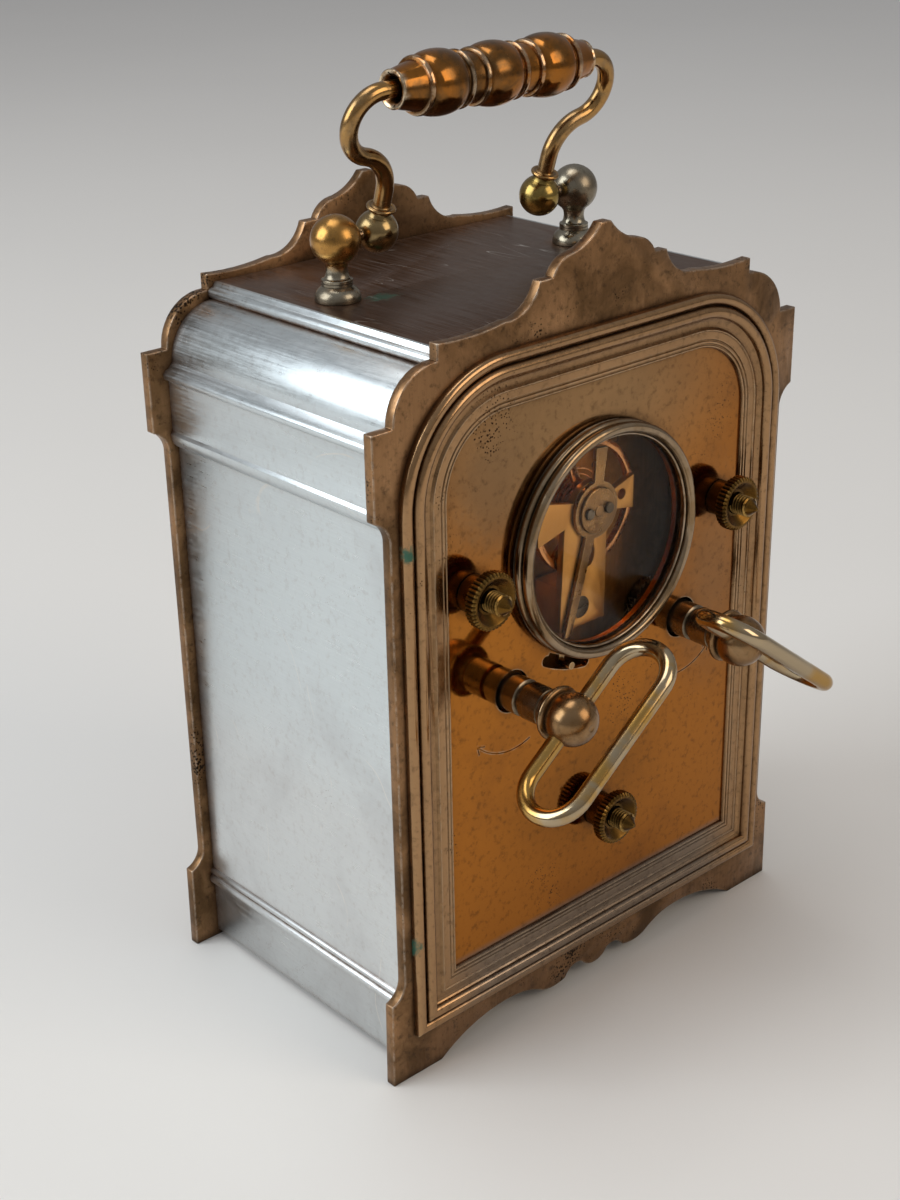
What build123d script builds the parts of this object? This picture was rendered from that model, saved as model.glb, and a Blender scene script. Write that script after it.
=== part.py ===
from build123d import *
from math import atan2, cos, degrees, hypot, pi, radians, sin
import os

# Travel alarm clock in a fretted brass case, lengths in millimetres.
# X runs across the clock, Y from the dial to the back, Z up.
# The origin is the centre of the clock's bounding box on the table.
# Depths are counted from the outer face of the back plate towards the dial.

# Case: overall sizes
CASE_DEPTH = 49.4
PLATE_THICKNESS = 1.6
PLATE_HALF_WIDTH = 37.8
FOOT_HALF_WIDTH = 40.4
FOOT_HEIGHT = 13.3
FOOT_TOE = 9.0
EAR_HEIGHT = 11.45
EAR_DROP = 7.95
STEP_HALF_WIDTH = 29.4
STEP_RISE = 1.2
CREST_HALF_WIDTH = 11.8
CREST_RISE = 4.4
PEAK_RISE = 5.6
SCALLOP_RISE = 3.8

# Case: sheet body between the two plates
SHEET = 0.8
SIDE_HALF_WIDTH = 36.2
SHEET_BOTTOM = 1.0
BODY_TOP = 104.3
TOP_EDGE_RISE = 2.3
SHOULDER_RISE = 7.6
SHOULDER_RUN = 7.6
BAND_DROP = 2.4
BAND_HEIGHT = 7.4
BEAD = 0.8
BASE_BEAD_HEIGHT = 10.6
FLANGE_WIDTH = 4.0
FLANGE_HEIGHT = 3.9

# Moulded frame on both plates
FRAME_HALF_WIDTH = 36.4
FRAME_BOTTOM = 6.9
FRAME_DROP = 1.9
FRAME_CORNER = 18.0
FRAME_BEAD_OUTER = 1.7
FRAME_BEAD_INNER = 1.9
FRAME_COVE = 1.6
FRAME_STEP = 2.6
BEAD_OUTER_HEIGHT = 1.3
BEAD_INNER_HEIGHT = 1.5
COVE_HEIGHT = 0.7
STEP_HEIGHT = 0.5
PANEL_THICKNESS = 0.8

# Movement: centre of the dial and depths of its layers
CENTRE_X = 0.0
CENTRE_RAISE = 2.35
MOVEMENT_RADIUS = 32.5
MOVEMENT_PLATE = 1.4
REAR_PLATE_DEPTH = 7.7
DIAL_RECESS = 6.5
DIAL_GAP = 8.6
DIAL_THICKNESS = 0.6
DIAL_RADIUS = 27.0

# Pillars and thumb nuts
PILLAR_CIRCLE = 28.2
PILLAR_RADIUS = 2.2
STUD_RADIUS = 1.5
STUD_HEIGHT = 7.5
NUT_RADIUS = 4.0
NUT_BOSS_RADIUS = 2.6
NUT_BOSS_HEIGHT = 2.7
NUT_THICKNESS = 1.9
NUT_GROOVES = 28

# Rear window
WINDOW_RAISE = 14.7
WINDOW_RADIUS = 15.0
BEZEL_RADIUS = 17.0
BEZEL_HEIGHT = 2.8
GLASS_THICKNESS = 1.3

# Winding keys
KEY_X = 17.2
KEY_DROP = 2.9
KEY_HOLE_RADIUS = 3.1
KEY_PIPE_RADIUS = 2.65
KEY_PIPE_HEIGHT = 8.3
KEY_COLLAR_RADIUS = 3.85
KEY_COLLAR_HEIGHT = 1.0
KEY_BALL_RADIUS = 3.7
KEY_BALL_HEIGHT = 11.3
KEY_SQUARE = 2.2
LOOP_WIRE = 1.2
LOOP_HALF_LENGTH = 13.6
LOOP_WIDTH = 9.2
LOOP_TILT = 36.9

# Handle: its posts stand in from the edge of the top, and the rest follows them
POST_INSET = 6.2
POST_DEPTH = 27.7
PIVOT_RISE = 8.1
POST_BALL_RADIUS = 3.4
HANDLE_BALL_RADIUS = 2.95
BALL_GAP = 0.75
HANDLE_WIRE = 1.2
HANDLE_LEAN = 18.0
HANDLE_REACH = 20.4
BOW_OVERHANG = 0.9
HANDLE_BOW_RADIUS = 4.5
HANDLE_RISE = 6.0
GRIP_PLAY = 1.4
GRIP_END = 2.7
GRIP_BULB_RADIUS = 4.3
GRIP_NECK_RADIUS = 2.6
PIVOT_PIN_RADIUS = 0.8

# Fits
RUNNING = 0.05
SEATED = 0.02
SIDE_GAP = 0.3

# Barrels
BARREL_RADIUS = 14.2
BARREL_WALL = 0.7
BARREL_DEPTH = 19.5
BARREL_CAP = 0.8
GREAT_WHEEL = 1.0
BARREL_CLEARANCE = 0.8
WINDING_ARBOR_RADIUS = 2.2
WINDING_PIVOT_RADIUS = 1.2
RATCHET_TEETH = 24
RATCHET_RADIUS = 4.4
RATCHET_THICKNESS = 1.2
RATCHET_TOOTH = 0.7
CLICK_DISTANCE = 8.2
CLICK_ANGLE = 250.0

# Going train: teeth, modules and directions from one arbor to the next
GREAT_TEETH = 76
CENTRE_PINION = 12
CENTRE_TEETH = 64
CENTRE_MODULE = 0.32
THIRD_PINION = 8
THIRD_TEETH = 60
THIRD_MODULE = 0.27
FOURTH_PINION = 8
FOURTH_TEETH = 60
FOURTH_MODULE = 0.22
ESCAPE_PINION = 6
ESCAPE_TEETH = 15
ESCAPE_RADIUS = 4.2
THIRD_DIRECTION = 103.5
FOURTH_DIRECTION = 137.7
ESCAPE_DIRECTION = 98.5
WHEEL_THICKNESS = 0.8
ARBOR_RADIUS = 0.7
PIVOT_RADIUS = 0.4

# Alarm train: its barrel is the shorter one, so that its wheel clears the centre pinion
ALARM_SHORTENING = 1.8
ALARM_PINION = 8
ALARM_DIRECTION = 120.0
ALARM_WHEEL_TEETH = 14
ALARM_WHEEL_RADIUS = 5.2
HAMMER_DISTANCE = 6.2
HAMMER_DIRECTION = 60.0
HAMMER_DEPTH = 14.2
HAMMER_HEAD_RADIUS = 2.2
HAMMER_HEAD_DROP = 3.5
HAMMER_HEAD_X = 11.6
BELL_RADIUS = 20.0
BELL_RIM_Z = 20.0
BELL_BOTTOM_Z = 6.4
BELL_WALL = 0.8

# Balance, cock and regulator
BALANCE_RAISE = 18.5
BALANCE_RADIUS = 9.7
BALANCE_RIM = 0.9
BALANCE_DEPTH = 3.5
BALANCE_THICKNESS = 1.0
STAFF_RADIUS = 0.5
LEVER_LENGTH = 6.9
COCK_DEPTH = 2.1
COCK_THICKNESS = 1.1
CAP_RADIUS = 3.25
INDEX_RING = 4.1
INDEX_DEPTH = 1.3
INDEX_THICKNESS = 0.6
INDEX_REACH = 21.9
INDEX_ANGLE = 17.3
INDEX_ARM_REACH = 8.9
INDEX_ARM_ANGLE = 96.0
INDEX_PIN_RADIUS = 0.55
INDEX_SLOT_WIDTH = 1.6
INDEX_SLOT_FROM = 8.0
INDEX_SLOT_TO = 29.0
HAIRSPRING_INNER = 1.7
HAIRSPRING_PITCH = 0.8
HAIRSPRING_HALF_TURNS = 9
HAIRSPRING_STRIP = 0.14
HAIRSPRING_HEIGHT = 0.4
HAIRSPRING_DEPTH = 5.4

# Motion work and hands
CANNON_TEETH = 12
MINUTE_TEETH = 36
CANNON_MODULE = 0.30
MINUTE_PINION = 10
HOUR_TEETH = 40
MINUTE_DIRECTION = -60.0
CANNON_BORE = 0.8
TUBE_WALL = 0.5
ALARM_HAND_LENGTH = 10.0
HOUR_HAND_LENGTH = 13.5
MINUTE_HAND_LENGTH = 20.0
HAND_THICKNESS = 0.4
HAND_SPACING = 1.1

# Front door
DOOR_RADIUS = 27.6
DOOR_OPENING = 24.6
DOOR_HEIGHT = 3.2
HINGE_HEIGHT = 2.1
HINGE_RADIUS = 1.3
HINGE_PIN_RADIUS = 0.6
HINGE_LENGTH = 12.0

# Derived heights and half widths of the case
SHOULDER_TOP = BODY_TOP - TOP_EDGE_RISE
SHOULDER_BOTTOM = SHOULDER_TOP - SHOULDER_RISE
TOP_EDGE = SIDE_HALF_WIDTH - SHOULDER_RUN
BAND_TOP = SHOULDER_BOTTOM - BAND_DROP
BAND_BOTTOM = BAND_TOP - BAND_HEIGHT
EAR_TOP = BODY_TOP - EAR_DROP
EAR_BOTTOM = EAR_TOP - EAR_HEIGHT
STEP_TOP = BODY_TOP + STEP_RISE
CREST_STEP = STEP_TOP + CREST_RISE
CREST_PEAK = CREST_STEP + PEAK_RISE
FRAME_TOP = BODY_TOP - FRAME_DROP
PIVOT_Z = BODY_TOP + PIVOT_RISE

# Derived places of the posts and the handle
POST_X = TOP_EDGE - POST_INSET
HANDLE_BALL_X = POST_X - POST_BALL_RADIUS - BALL_GAP - HANDLE_BALL_RADIUS
HANDLE_BOW_X = POST_X + BOW_OVERHANG
GRIP_HALF_LENGTH = HANDLE_BOW_X - HANDLE_BOW_RADIUS - GRIP_PLAY
GRIP_BULB_SPACING = (GRIP_HALF_LENGTH - GRIP_END) / 1.5

# Derived heights of the movement, which is centred on the moulded frame but for a small raise
CENTRE_Z = (FRAME_BOTTOM + FRAME_TOP) / 2 + CENTRE_RAISE
WINDOW_Z = CENTRE_Z + WINDOW_RAISE
KEY_Z = CENTRE_Z - KEY_DROP
BALANCE_Z = CENTRE_Z + BALANCE_RAISE
HAMMER_HEAD_Z = BELL_RIM_Z - HAMMER_HEAD_DROP

# Derived depths
KEY_REACH = KEY_BALL_HEIGHT + LOOP_WIDTH + LOOP_WIRE
DOOR_REACH = HINGE_HEIGHT + HINGE_RADIUS
BACK_FACE = (CASE_DEPTH + KEY_REACH + DOOR_REACH) / 2 - KEY_REACH
DIAL_DEPTH = CASE_DEPTH - DIAL_RECESS - DIAL_THICKNESS
FRONT_PLATE_DEPTH = DIAL_DEPTH - DIAL_GAP - MOVEMENT_PLATE
BARREL_HEIGHT = FRONT_PLATE_DEPTH - BARREL_CLEARANCE - GREAT_WHEEL - BARREL_DEPTH
HINGE_X = DOOR_RADIUS + HINGE_RADIUS
OPENING_INSET = FRAME_BEAD_OUTER + FRAME_BEAD_INNER + FRAME_COVE
SIDES = (("alarm", 1), ("time", -1))
PILLARS = [
    (CENTRE_X + PILLAR_CIRCLE * cos(radians(a)), CENTRE_Z + PILLAR_CIRCLE * sin(radians(a)))
    for a in (30, 150, 270)
]

os.makedirs("parts", exist_ok=True)


def save(builder, name):
    """Label a finished piece and write it as its own file."""
    builder.part.label = name
    export_step(builder.part, f"parts/{name}.step")


def depth_y(depth):
    """Y of a depth counted from the back plate's outer face."""
    return BACK_FACE - depth


def layer(depth):
    """Sketch plane at a depth: its x and y are the clock's X and Z, and it grows to the front."""
    return Plane.XZ.offset(-depth_y(depth))


def polar(origin, distance, direction):
    """Point at a distance and direction, in degrees, from another point."""
    return (origin[0] + distance * cos(radians(direction)),
            origin[1] + distance * sin(radians(direction)))


def direction_of(start, end):
    """Direction in degrees from one point to another."""
    return degrees(atan2(end[1] - start[1], end[0] - start[0]))


def distance_of(start, end):
    """Distance between two points."""
    return hypot(end[0] - start[0], end[1] - start[1])


def rod(place, radius, near, far, mode=Mode.ADD):
    """Cylinder along the clock's depth between two depths."""
    middle = depth_y((near + far) / 2)
    with Locations(Location((place[0], middle, place[1]), (90, 0, 0))):
        Cylinder(radius, far - near, mode=mode)


def turned(place, profile, mode=Mode.ADD):
    """Turned piece on an axis along the depth, from points of radius and depth."""
    with BuildSketch(Plane(origin=(place[0], 0, place[1]), x_dir=(1, 0, 0), z_dir=(0, 0, 1))) as section:
        with BuildLine():
            Polyline(*[(radius, depth_y(depth)) for radius, depth in profile], close=True)
        make_face()
    revolve(section.sketch, axis=Axis((place[0], 0, place[1]), (0, 1, 0)), mode=mode)


def upright(x, y, profile, mode=Mode.ADD):
    """Turned piece on a vertical axis, from points of radius and height."""
    with BuildSketch(Plane(origin=(x, y, 0), x_dir=(1, 0, 0), z_dir=(0, -1, 0))) as section:
        with BuildLine():
            Polyline(*profile, close=True)
        make_face()
    revolve(section.sketch, axis=Axis((x, y, 0), (0, 0, 1)), mode=mode)


def frame_outline(inset):
    """Face of the frame outline, square at the bottom and round at the top, at an inset."""
    half = FRAME_HALF_WIDTH - inset
    top = FRAME_TOP - inset
    corner = FRAME_CORNER - inset
    bottom = FRAME_BOTTOM + inset
    diagonal = corner * cos(pi / 4)
    with BuildSketch() as outline:
        with BuildLine():
            Line((0, bottom), (half, bottom))
            Line((half, bottom), (half, top - corner))
            ThreePointArc((half, top - corner),
                          (half - corner + diagonal, top - corner + diagonal),
                          (half - corner, top))
            Line((half - corner, top), (0, top))
            mirror(about=Plane.YZ)
        make_face()
    return outline.sketch


def fretted_outline():
    """Face of a fretted plate: feet, ears, stepped shoulders, crest and scalloped foot edge."""
    neck = PLATE_HALF_WIDTH
    ear = FOOT_HALF_WIDTH - 0.2
    with BuildSketch() as outline:
        with BuildLine():
            lobe_side = SCALLOP_RISE * 2.9
            ThreePointArc((0, 1.5), (1.4, 1.8), (2.7, 2.9))
            ThreePointArc((2.7, 2.9), (4.6, 3.1), (6.3, 1.7))
            ThreePointArc((6.3, 1.7), (8.8, 1.3), (lobe_side, 1.7))
            ThreePointArc((lobe_side, 1.7), (13.8, 3.1), (17.5, SCALLOP_RISE))
            ThreePointArc((17.5, SCALLOP_RISE), (25.2, 2.9), (FOOT_HALF_WIDTH - FOOT_TOE, 0))
            Line((FOOT_HALF_WIDTH - FOOT_TOE, 0), (FOOT_HALF_WIDTH, 0))
            Line((FOOT_HALF_WIDTH, 0), (ear, FOOT_HEIGHT))
            ThreePointArc((ear, FOOT_HEIGHT),
                          (neck + 0.8, FOOT_HEIGHT + 1.0),
                          (neck, FOOT_HEIGHT + 2.9))
            Line((neck, FOOT_HEIGHT + 2.9), (neck, EAR_BOTTOM - 3.0))
            ThreePointArc((neck, EAR_BOTTOM - 3.0), (neck + 0.8, EAR_BOTTOM - 1.1), (ear, EAR_BOTTOM))
            Line((ear, EAR_BOTTOM), (ear, EAR_TOP))
            Line((ear, EAR_TOP), (neck - 1.0, EAR_TOP))
            shoulder = neck - 1.0 - STEP_HALF_WIDTH
            shoulder_top = SHOULDER_TOP + 1.3
            ThreePointArc((neck - 1.0, EAR_TOP),
                          (STEP_HALF_WIDTH + shoulder * 0.72, EAR_TOP + (shoulder_top - EAR_TOP) * 0.70),
                          (STEP_HALF_WIDTH, shoulder_top))
            Line((STEP_HALF_WIDTH, shoulder_top), (STEP_HALF_WIDTH, STEP_TOP))
            ThreePointArc((STEP_HALF_WIDTH, STEP_TOP), (23.6, STEP_TOP - 0.2), (18.0, STEP_TOP + 0.4))
            ThreePointArc((18.0, STEP_TOP + 0.4), (14.0, STEP_TOP + 1.4), (CREST_HALF_WIDTH, CREST_STEP))
            Line((CREST_HALF_WIDTH, CREST_STEP), (CREST_HALF_WIDTH - 2.2, CREST_STEP))
            ThreePointArc((CREST_HALF_WIDTH - 2.2, CREST_STEP),
                          (CREST_HALF_WIDTH - 3.4, CREST_STEP + 1.6),
                          (CREST_HALF_WIDTH - 5.4, CREST_STEP + 2.5))
            ThreePointArc((CREST_HALF_WIDTH - 5.4, CREST_STEP + 2.5),
                          (3.5, CREST_STEP + 3.4),
                          (0.9, CREST_PEAK))
            Line((0.9, CREST_PEAK), (0, CREST_PEAK))
            mirror(about=Plane.YZ)
        make_face()
    return outline.sketch


def arc_slot(middle, radius, width, start, end):
    """Face of a round-ended slot along an arc."""
    inside = radius - width / 2
    outside = radius + width / 2
    half = (start + end) / 2
    rounding = degrees(width / 2 / radius)
    with BuildSketch() as slot:
        with BuildLine():
            ThreePointArc(polar(middle, outside, start),
                          polar(middle, outside, half),
                          polar(middle, outside, end))
            ThreePointArc(polar(middle, outside, end),
                          polar(middle, radius, end + rounding),
                          polar(middle, inside, end))
            ThreePointArc(polar(middle, inside, end),
                          polar(middle, inside, half),
                          polar(middle, inside, start))
            ThreePointArc(polar(middle, inside, start),
                          polar(middle, radius, start - rounding),
                          polar(middle, outside, start))
        make_face()
    return slot.sketch


def frame_ring(inset, width, height, outward, plane):
    """One raised band of the moulded frame, standing out of a plate."""
    with BuildSketch(plane) as ring:
        add(frame_outline(inset))
        add(frame_outline(inset + width), mode=Mode.SUBTRACT)
    extrude(ring.sketch, amount=height * outward)


def moulded_frame(depth, outward):
    """Two beads, a cove and a flat step, with the panel that they surround."""
    plane = layer(depth)
    last = Axis.Y if outward < 0 else -Axis.Y
    frame_ring(0, FRAME_BEAD_OUTER, BEAD_OUTER_HEIGHT, outward, plane)
    fillet(faces().sort_by(last)[-1].edges(), FRAME_BEAD_OUTER * 0.45)
    frame_ring(FRAME_BEAD_OUTER, FRAME_BEAD_INNER, BEAD_INNER_HEIGHT, outward, plane)
    fillet(faces().sort_by(last)[-1].edges(), FRAME_BEAD_INNER * 0.45)
    frame_ring(FRAME_BEAD_OUTER + FRAME_BEAD_INNER, FRAME_COVE, COVE_HEIGHT, outward, plane)
    frame_ring(OPENING_INSET, FRAME_STEP, STEP_HEIGHT, outward, plane)
    with BuildSketch(plane) as panel:
        add(frame_outline(OPENING_INSET + SEATED))
    extrude(panel.sketch, amount=-PANEL_THICKNESS * outward)


def toothed_wheel(place, teeth, module, near, far, phase, mode=Mode.ADD):
    """Spur wheel with a tooth centred on the phase direction."""
    pitch = 360 / teeth
    root = module * (teeth / 2 - 1.15)
    tip = module * (teeth / 2 + 0.85)
    outline = []
    for tooth in range(teeth):
        middle = phase + tooth * pitch
        for radius, turn in ((root, -0.27), (tip, -0.10), (tip, 0.10), (root, 0.27)):
            outline.append(polar((0, 0), radius, middle + turn * pitch))
    with BuildSketch(layer(near)) as wheel:
        with Locations(place):
            Polygon(*outline, align=None)
    extrude(wheel.sketch, amount=far - near, mode=mode)


def saw_wheel(place, teeth, tip, near, far, depth):
    """Ratchet or escape wheel with raked teeth."""
    pitch = 360 / teeth
    outline = []
    for tooth in range(teeth):
        outline.append(polar((0, 0), tip, tooth * pitch))
        outline.append(polar((0, 0), tip - depth, (tooth + 0.15) * pitch))
    with BuildSketch(layer(near)) as wheel:
        with Locations(place):
            Polygon(*outline, align=None)
    extrude(wheel.sketch, amount=far - near)


def grip_point(x, radius):
    """Point of the grip's profile, in the handle's own plane."""
    return (x, HANDLE_REACH + radius)


def bar(start, end, start_width, end_width, near, far, mode=Mode.ADD):
    """Flat tapered arm between two places."""
    side = direction_of(start, end) + 90
    with BuildSketch(layer(near)) as arm:
        Polygon(polar(start, start_width / 2, side), polar(end, end_width / 2, side),
                polar(end, -end_width / 2, side), polar(start, -start_width / 2, side), align=None)
    extrude(arm.sketch, amount=far - near, mode=mode)


# Places of the arbors
centre = (CENTRE_X, CENTRE_Z)
balance = (CENTRE_X, BALANCE_Z)
keys = {name: (side * KEY_X, KEY_Z) for name, side in SIDES}
great_distance = distance_of(keys["time"], centre)
great_module = 2 * great_distance / (GREAT_TEETH + CENTRE_PINION)
third = polar(centre, CENTRE_MODULE * (CENTRE_TEETH + THIRD_PINION) / 2, THIRD_DIRECTION)
fourth = polar(third, THIRD_MODULE * (THIRD_TEETH + FOURTH_PINION) / 2, FOURTH_DIRECTION)
escape = polar(fourth, FOURTH_MODULE * (FOURTH_TEETH + ESCAPE_PINION) / 2, ESCAPE_DIRECTION)
lever_pivot = polar(balance, LEVER_LENGTH, direction_of(balance, escape))
alarm_arbor = polar(keys["alarm"], great_module * (GREAT_TEETH + ALARM_PINION) / 2, ALARM_DIRECTION)
hammer = polar(alarm_arbor, HAMMER_DISTANCE, HAMMER_DIRECTION)
minute_arbor = polar(centre, CANNON_MODULE * (CANNON_TEETH + MINUTE_TEETH) / 2, MINUTE_DIRECTION)
hour_module = CANNON_MODULE * (CANNON_TEETH + MINUTE_TEETH) / (MINUTE_PINION + HOUR_TEETH)

# Depths of the layers inside the movement
plate_back = REAR_PLATE_DEPTH
plate_inside = REAR_PLATE_DEPTH + MOVEMENT_PLATE
front_inside = FRONT_PLATE_DEPTH
front_outside = FRONT_PLATE_DEPTH + MOVEMENT_PLATE
great_near = {"time": BARREL_DEPTH + BARREL_HEIGHT, "alarm": BARREL_DEPTH + BARREL_HEIGHT - ALARM_SHORTENING}
great_far = {name: near + GREAT_WHEEL for name, near in great_near.items()}
ratchet_far = plate_back - SIDE_GAP
ratchet_near = ratchet_far - RATCHET_THICKNESS
centre_wheel_near = BARREL_DEPTH - 3.8
third_wheel_near = centre_wheel_near - 1.6
fourth_wheel_near = BARREL_DEPTH + 1.4
bridge_near = third_wheel_near - 1.7
escape_near = bridge_near - 1.5
alarm_wheel_near = BARREL_DEPTH - 2.0

# Case: back plate and front plate
for name, near in (("back_plate", 0), ("front_plate", CASE_DEPTH - PLATE_THICKNESS)):
    with BuildPart() as plate:
        with BuildSketch(layer(near)):
            add(fretted_outline())
            add(frame_outline(OPENING_INSET), mode=Mode.SUBTRACT)
        extrude(amount=PLATE_THICKNESS)
    save(plate, name)

# Case: sheet body with its mouldings, open at the bottom
with BuildPart() as case_body:
    with BuildSketch(layer(PLATE_THICKNESS)):
        with BuildLine():
            side = SIDE_HALF_WIDTH
            inner = SIDE_HALF_WIDTH - SHEET
            low = BASE_BEAD_HEIGHT
            band = SIDE_HALF_WIDTH + BEAD
            Line((inner, SHEET_BOTTOM), (side, SHEET_BOTTOM))
            Line((side, SHEET_BOTTOM), (side, low - BEAD))
            ThreePointArc((side, low - BEAD), (side + BEAD, low), (side, low + BEAD))
            ThreePointArc((side, low + BEAD), (side + BEAD * 0.7, low + BEAD * 1.7), (side, low + BEAD * 2.4))
            Line((side, low + BEAD * 2.4), (side, BAND_BOTTOM - 2.6))
            ThreePointArc((side, BAND_BOTTOM - 2.6),
                          (side + 0.9, BAND_BOTTOM - 1.7),
                          (side + 1.2, BAND_BOTTOM - 0.4))
            Line((side + 1.2, BAND_BOTTOM - 0.4), (band, BAND_BOTTOM))
            Line((band, BAND_BOTTOM), (band, BAND_TOP))
            ThreePointArc((band, BAND_TOP), (band + BEAD, BAND_TOP + BEAD), (band, BAND_TOP + BEAD * 2))
            Line((band, BAND_TOP + BEAD * 2), (side, SHOULDER_BOTTOM))
            rise = SHOULDER_TOP - SHOULDER_BOTTOM
            run = side - TOP_EDGE
            ThreePointArc((side, SHOULDER_BOTTOM),
                          (TOP_EDGE + run * cos(pi / 4), SHOULDER_BOTTOM + rise * sin(pi / 4)),
                          (TOP_EDGE, SHOULDER_TOP))
            ThreePointArc((TOP_EDGE, SHOULDER_TOP), (TOP_EDGE + BEAD, SHOULDER_TOP + BEAD),
                          (TOP_EDGE, SHOULDER_TOP + BEAD * 2))
            Line((TOP_EDGE, SHOULDER_TOP + BEAD * 2), (TOP_EDGE - 0.4, BODY_TOP))
            Line((TOP_EDGE - 0.4, BODY_TOP), (0, BODY_TOP))
            Line((0, BODY_TOP), (0, BODY_TOP - SHEET))
            Line((0, BODY_TOP - SHEET), (TOP_EDGE - 1.2, BODY_TOP - SHEET))
            Line((TOP_EDGE - 1.2, BODY_TOP - SHEET), (TOP_EDGE - 1.2, SHOULDER_TOP - SHEET))
            inner_bend = (TOP_EDGE + (run - SHEET) * cos(pi / 4),
                          SHOULDER_BOTTOM + (rise - SHEET) * sin(pi / 4))
            ThreePointArc((TOP_EDGE - 1.2, SHOULDER_TOP - SHEET), inner_bend, (inner, SHOULDER_BOTTOM))
            flange = FLANGE_HEIGHT + SHEET
            Line((inner, SHOULDER_BOTTOM), (inner, flange))
            Line((inner, flange), (inner - FLANGE_WIDTH, flange))
            Line((inner - FLANGE_WIDTH, flange), (inner - FLANGE_WIDTH, FLANGE_HEIGHT))
            Line((inner - FLANGE_WIDTH, FLANGE_HEIGHT), (inner, FLANGE_HEIGHT))
            Line((inner, FLANGE_HEIGHT), (inner, SHEET_BOTTOM))
        make_face()
        mirror(about=Plane.YZ)
    extrude(amount=CASE_DEPTH - 2 * PLATE_THICKNESS)
    post_y = depth_y(POST_DEPTH)
    with Locations((POST_X, post_y, BODY_TOP), (-POST_X, post_y, BODY_TOP)):
        Cylinder(1.2 + SEATED, 4 * SHEET, mode=Mode.SUBTRACT)
    screw_x = SIDE_HALF_WIDTH - SHEET - FLANGE_WIDTH / 2
    screw_ys = (depth_y(8.0), depth_y(CASE_DEPTH - 8.0))
    base_screw_places = [(s * screw_x, y) for s in (1, -1) for y in screw_ys]
    with Locations(*[(x, y, FLANGE_HEIGHT) for x, y in base_screw_places]):
        Cylinder(1.0 + SEATED, 4 * SHEET, mode=Mode.SUBTRACT)
save(case_body, "case_body")

# Base plate under the flanges, with its four screws
with BuildPart() as base_plate:
    middle_y = depth_y(CASE_DEPTH / 2)
    with Locations((0, middle_y, FLANGE_HEIGHT - SHEET / 2)):
        Box(2 * (SIDE_HALF_WIDTH - SHEET - 0.1), CASE_DEPTH - 2 * PLATE_THICKNESS - 0.2, SHEET)
    with Locations(*[(x, y, FLANGE_HEIGHT) for x, y in base_screw_places]):
        Cylinder(1.0 + SEATED, 4 * SHEET, mode=Mode.SUBTRACT)
    with Locations((0, middle_y, FLANGE_HEIGHT)):
        Cylinder(1.0 + SEATED, 4 * SHEET, mode=Mode.SUBTRACT)
save(base_plate, "base_plate")

with BuildPart() as base_screws:
    head = FLANGE_HEIGHT - SHEET
    for x, y in base_screw_places:
        upright(x, y, [(0, head - 1.0), (1.9, head - 1.0), (1.9, head), (1.0, head),
                       (1.0, head + 3.0), (0, head + 3.0)])
        with Locations((x, y, head - 1.0)):
            Box(3.8, 0.5, 0.8, mode=Mode.SUBTRACT)
save(base_screws, "base_screws")

# Back panel with its moulded frame, window, key holes, stud holes and regulator slot
with BuildPart() as back_panel:
    moulded_frame(0, -1)
    with BuildSketch(layer(-1)):
        with Locations((0, WINDOW_Z)):
            Circle(WINDOW_RADIUS)
        with Locations(*keys.values()):
            Circle(KEY_HOLE_RADIUS)
        with Locations(*PILLARS):
            Circle(STUD_RADIUS + RUNNING)
        add(arc_slot(balance, INDEX_REACH, INDEX_SLOT_WIDTH, INDEX_SLOT_FROM - 90, INDEX_SLOT_TO - 90))
    extrude(amount=3, mode=Mode.SUBTRACT)
save(back_panel, "back_panel")

# Front panel with its moulded frame and the dial opening
with BuildPart() as front_panel:
    moulded_frame(CASE_DEPTH, 1)
    with BuildSketch(layer(CASE_DEPTH + 1)):
        with Locations(centre):
            Circle(DOOR_OPENING)
    extrude(amount=-3, mode=Mode.SUBTRACT)
save(front_panel, "front_panel")

# Rear window: bezel and glass
with BuildPart() as window_bezel:
    seat = BEZEL_RADIUS - 1.1
    turned((0, WINDOW_Z), [(seat, 0), (BEZEL_RADIUS, 0), (BEZEL_RADIUS, -BEZEL_HEIGHT * 0.5),
                           (BEZEL_RADIUS - 0.35, -BEZEL_HEIGHT * 0.85), (BEZEL_RADIUS - 0.9, -BEZEL_HEIGHT),
                           (BEZEL_RADIUS - 1.5, -BEZEL_HEIGHT * 0.92), (WINDOW_RADIUS, -BEZEL_HEIGHT * 0.75),
                           (WINDOW_RADIUS, -GLASS_THICKNESS - SEATED), (seat, -GLASS_THICKNESS - SEATED)])
save(window_bezel, "window_bezel")

with BuildPart() as window_glass:
    rod((0, WINDOW_Z), BEZEL_RADIUS - 1.1 - RUNNING, -GLASS_THICKNESS, 0)
save(window_glass, "window_glass")

# Handle posts, their nuts under the top, and the pivot pins
with BuildPart() as handle_posts:
    for side in (1, -1):
        upright(side * POST_X, post_y, [
            (0, BODY_TOP - 3.4), (1.2, BODY_TOP - 3.4), (1.2, BODY_TOP), (3.05, BODY_TOP),
            (3.05, BODY_TOP + 0.8), (2.5, BODY_TOP + 1.7), (1.7, BODY_TOP + 2.3), (1.7, BODY_TOP + 2.6),
            (2.1, BODY_TOP + 2.8), (2.1, BODY_TOP + 3.5), (1.5, BODY_TOP + 3.8), (1.5, PIVOT_Z),
            (0, PIVOT_Z)])
        with Locations((side * POST_X, post_y, PIVOT_Z)):
            Sphere(POST_BALL_RADIUS)
        with Locations(Location((side * (POST_X - POST_BALL_RADIUS), post_y, PIVOT_Z), (0, 90, 0))):
            Cylinder(PIVOT_PIN_RADIUS + SEATED, 2 * POST_BALL_RADIUS + 0.6, mode=Mode.SUBTRACT)
save(handle_posts, "handle_posts")

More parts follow.
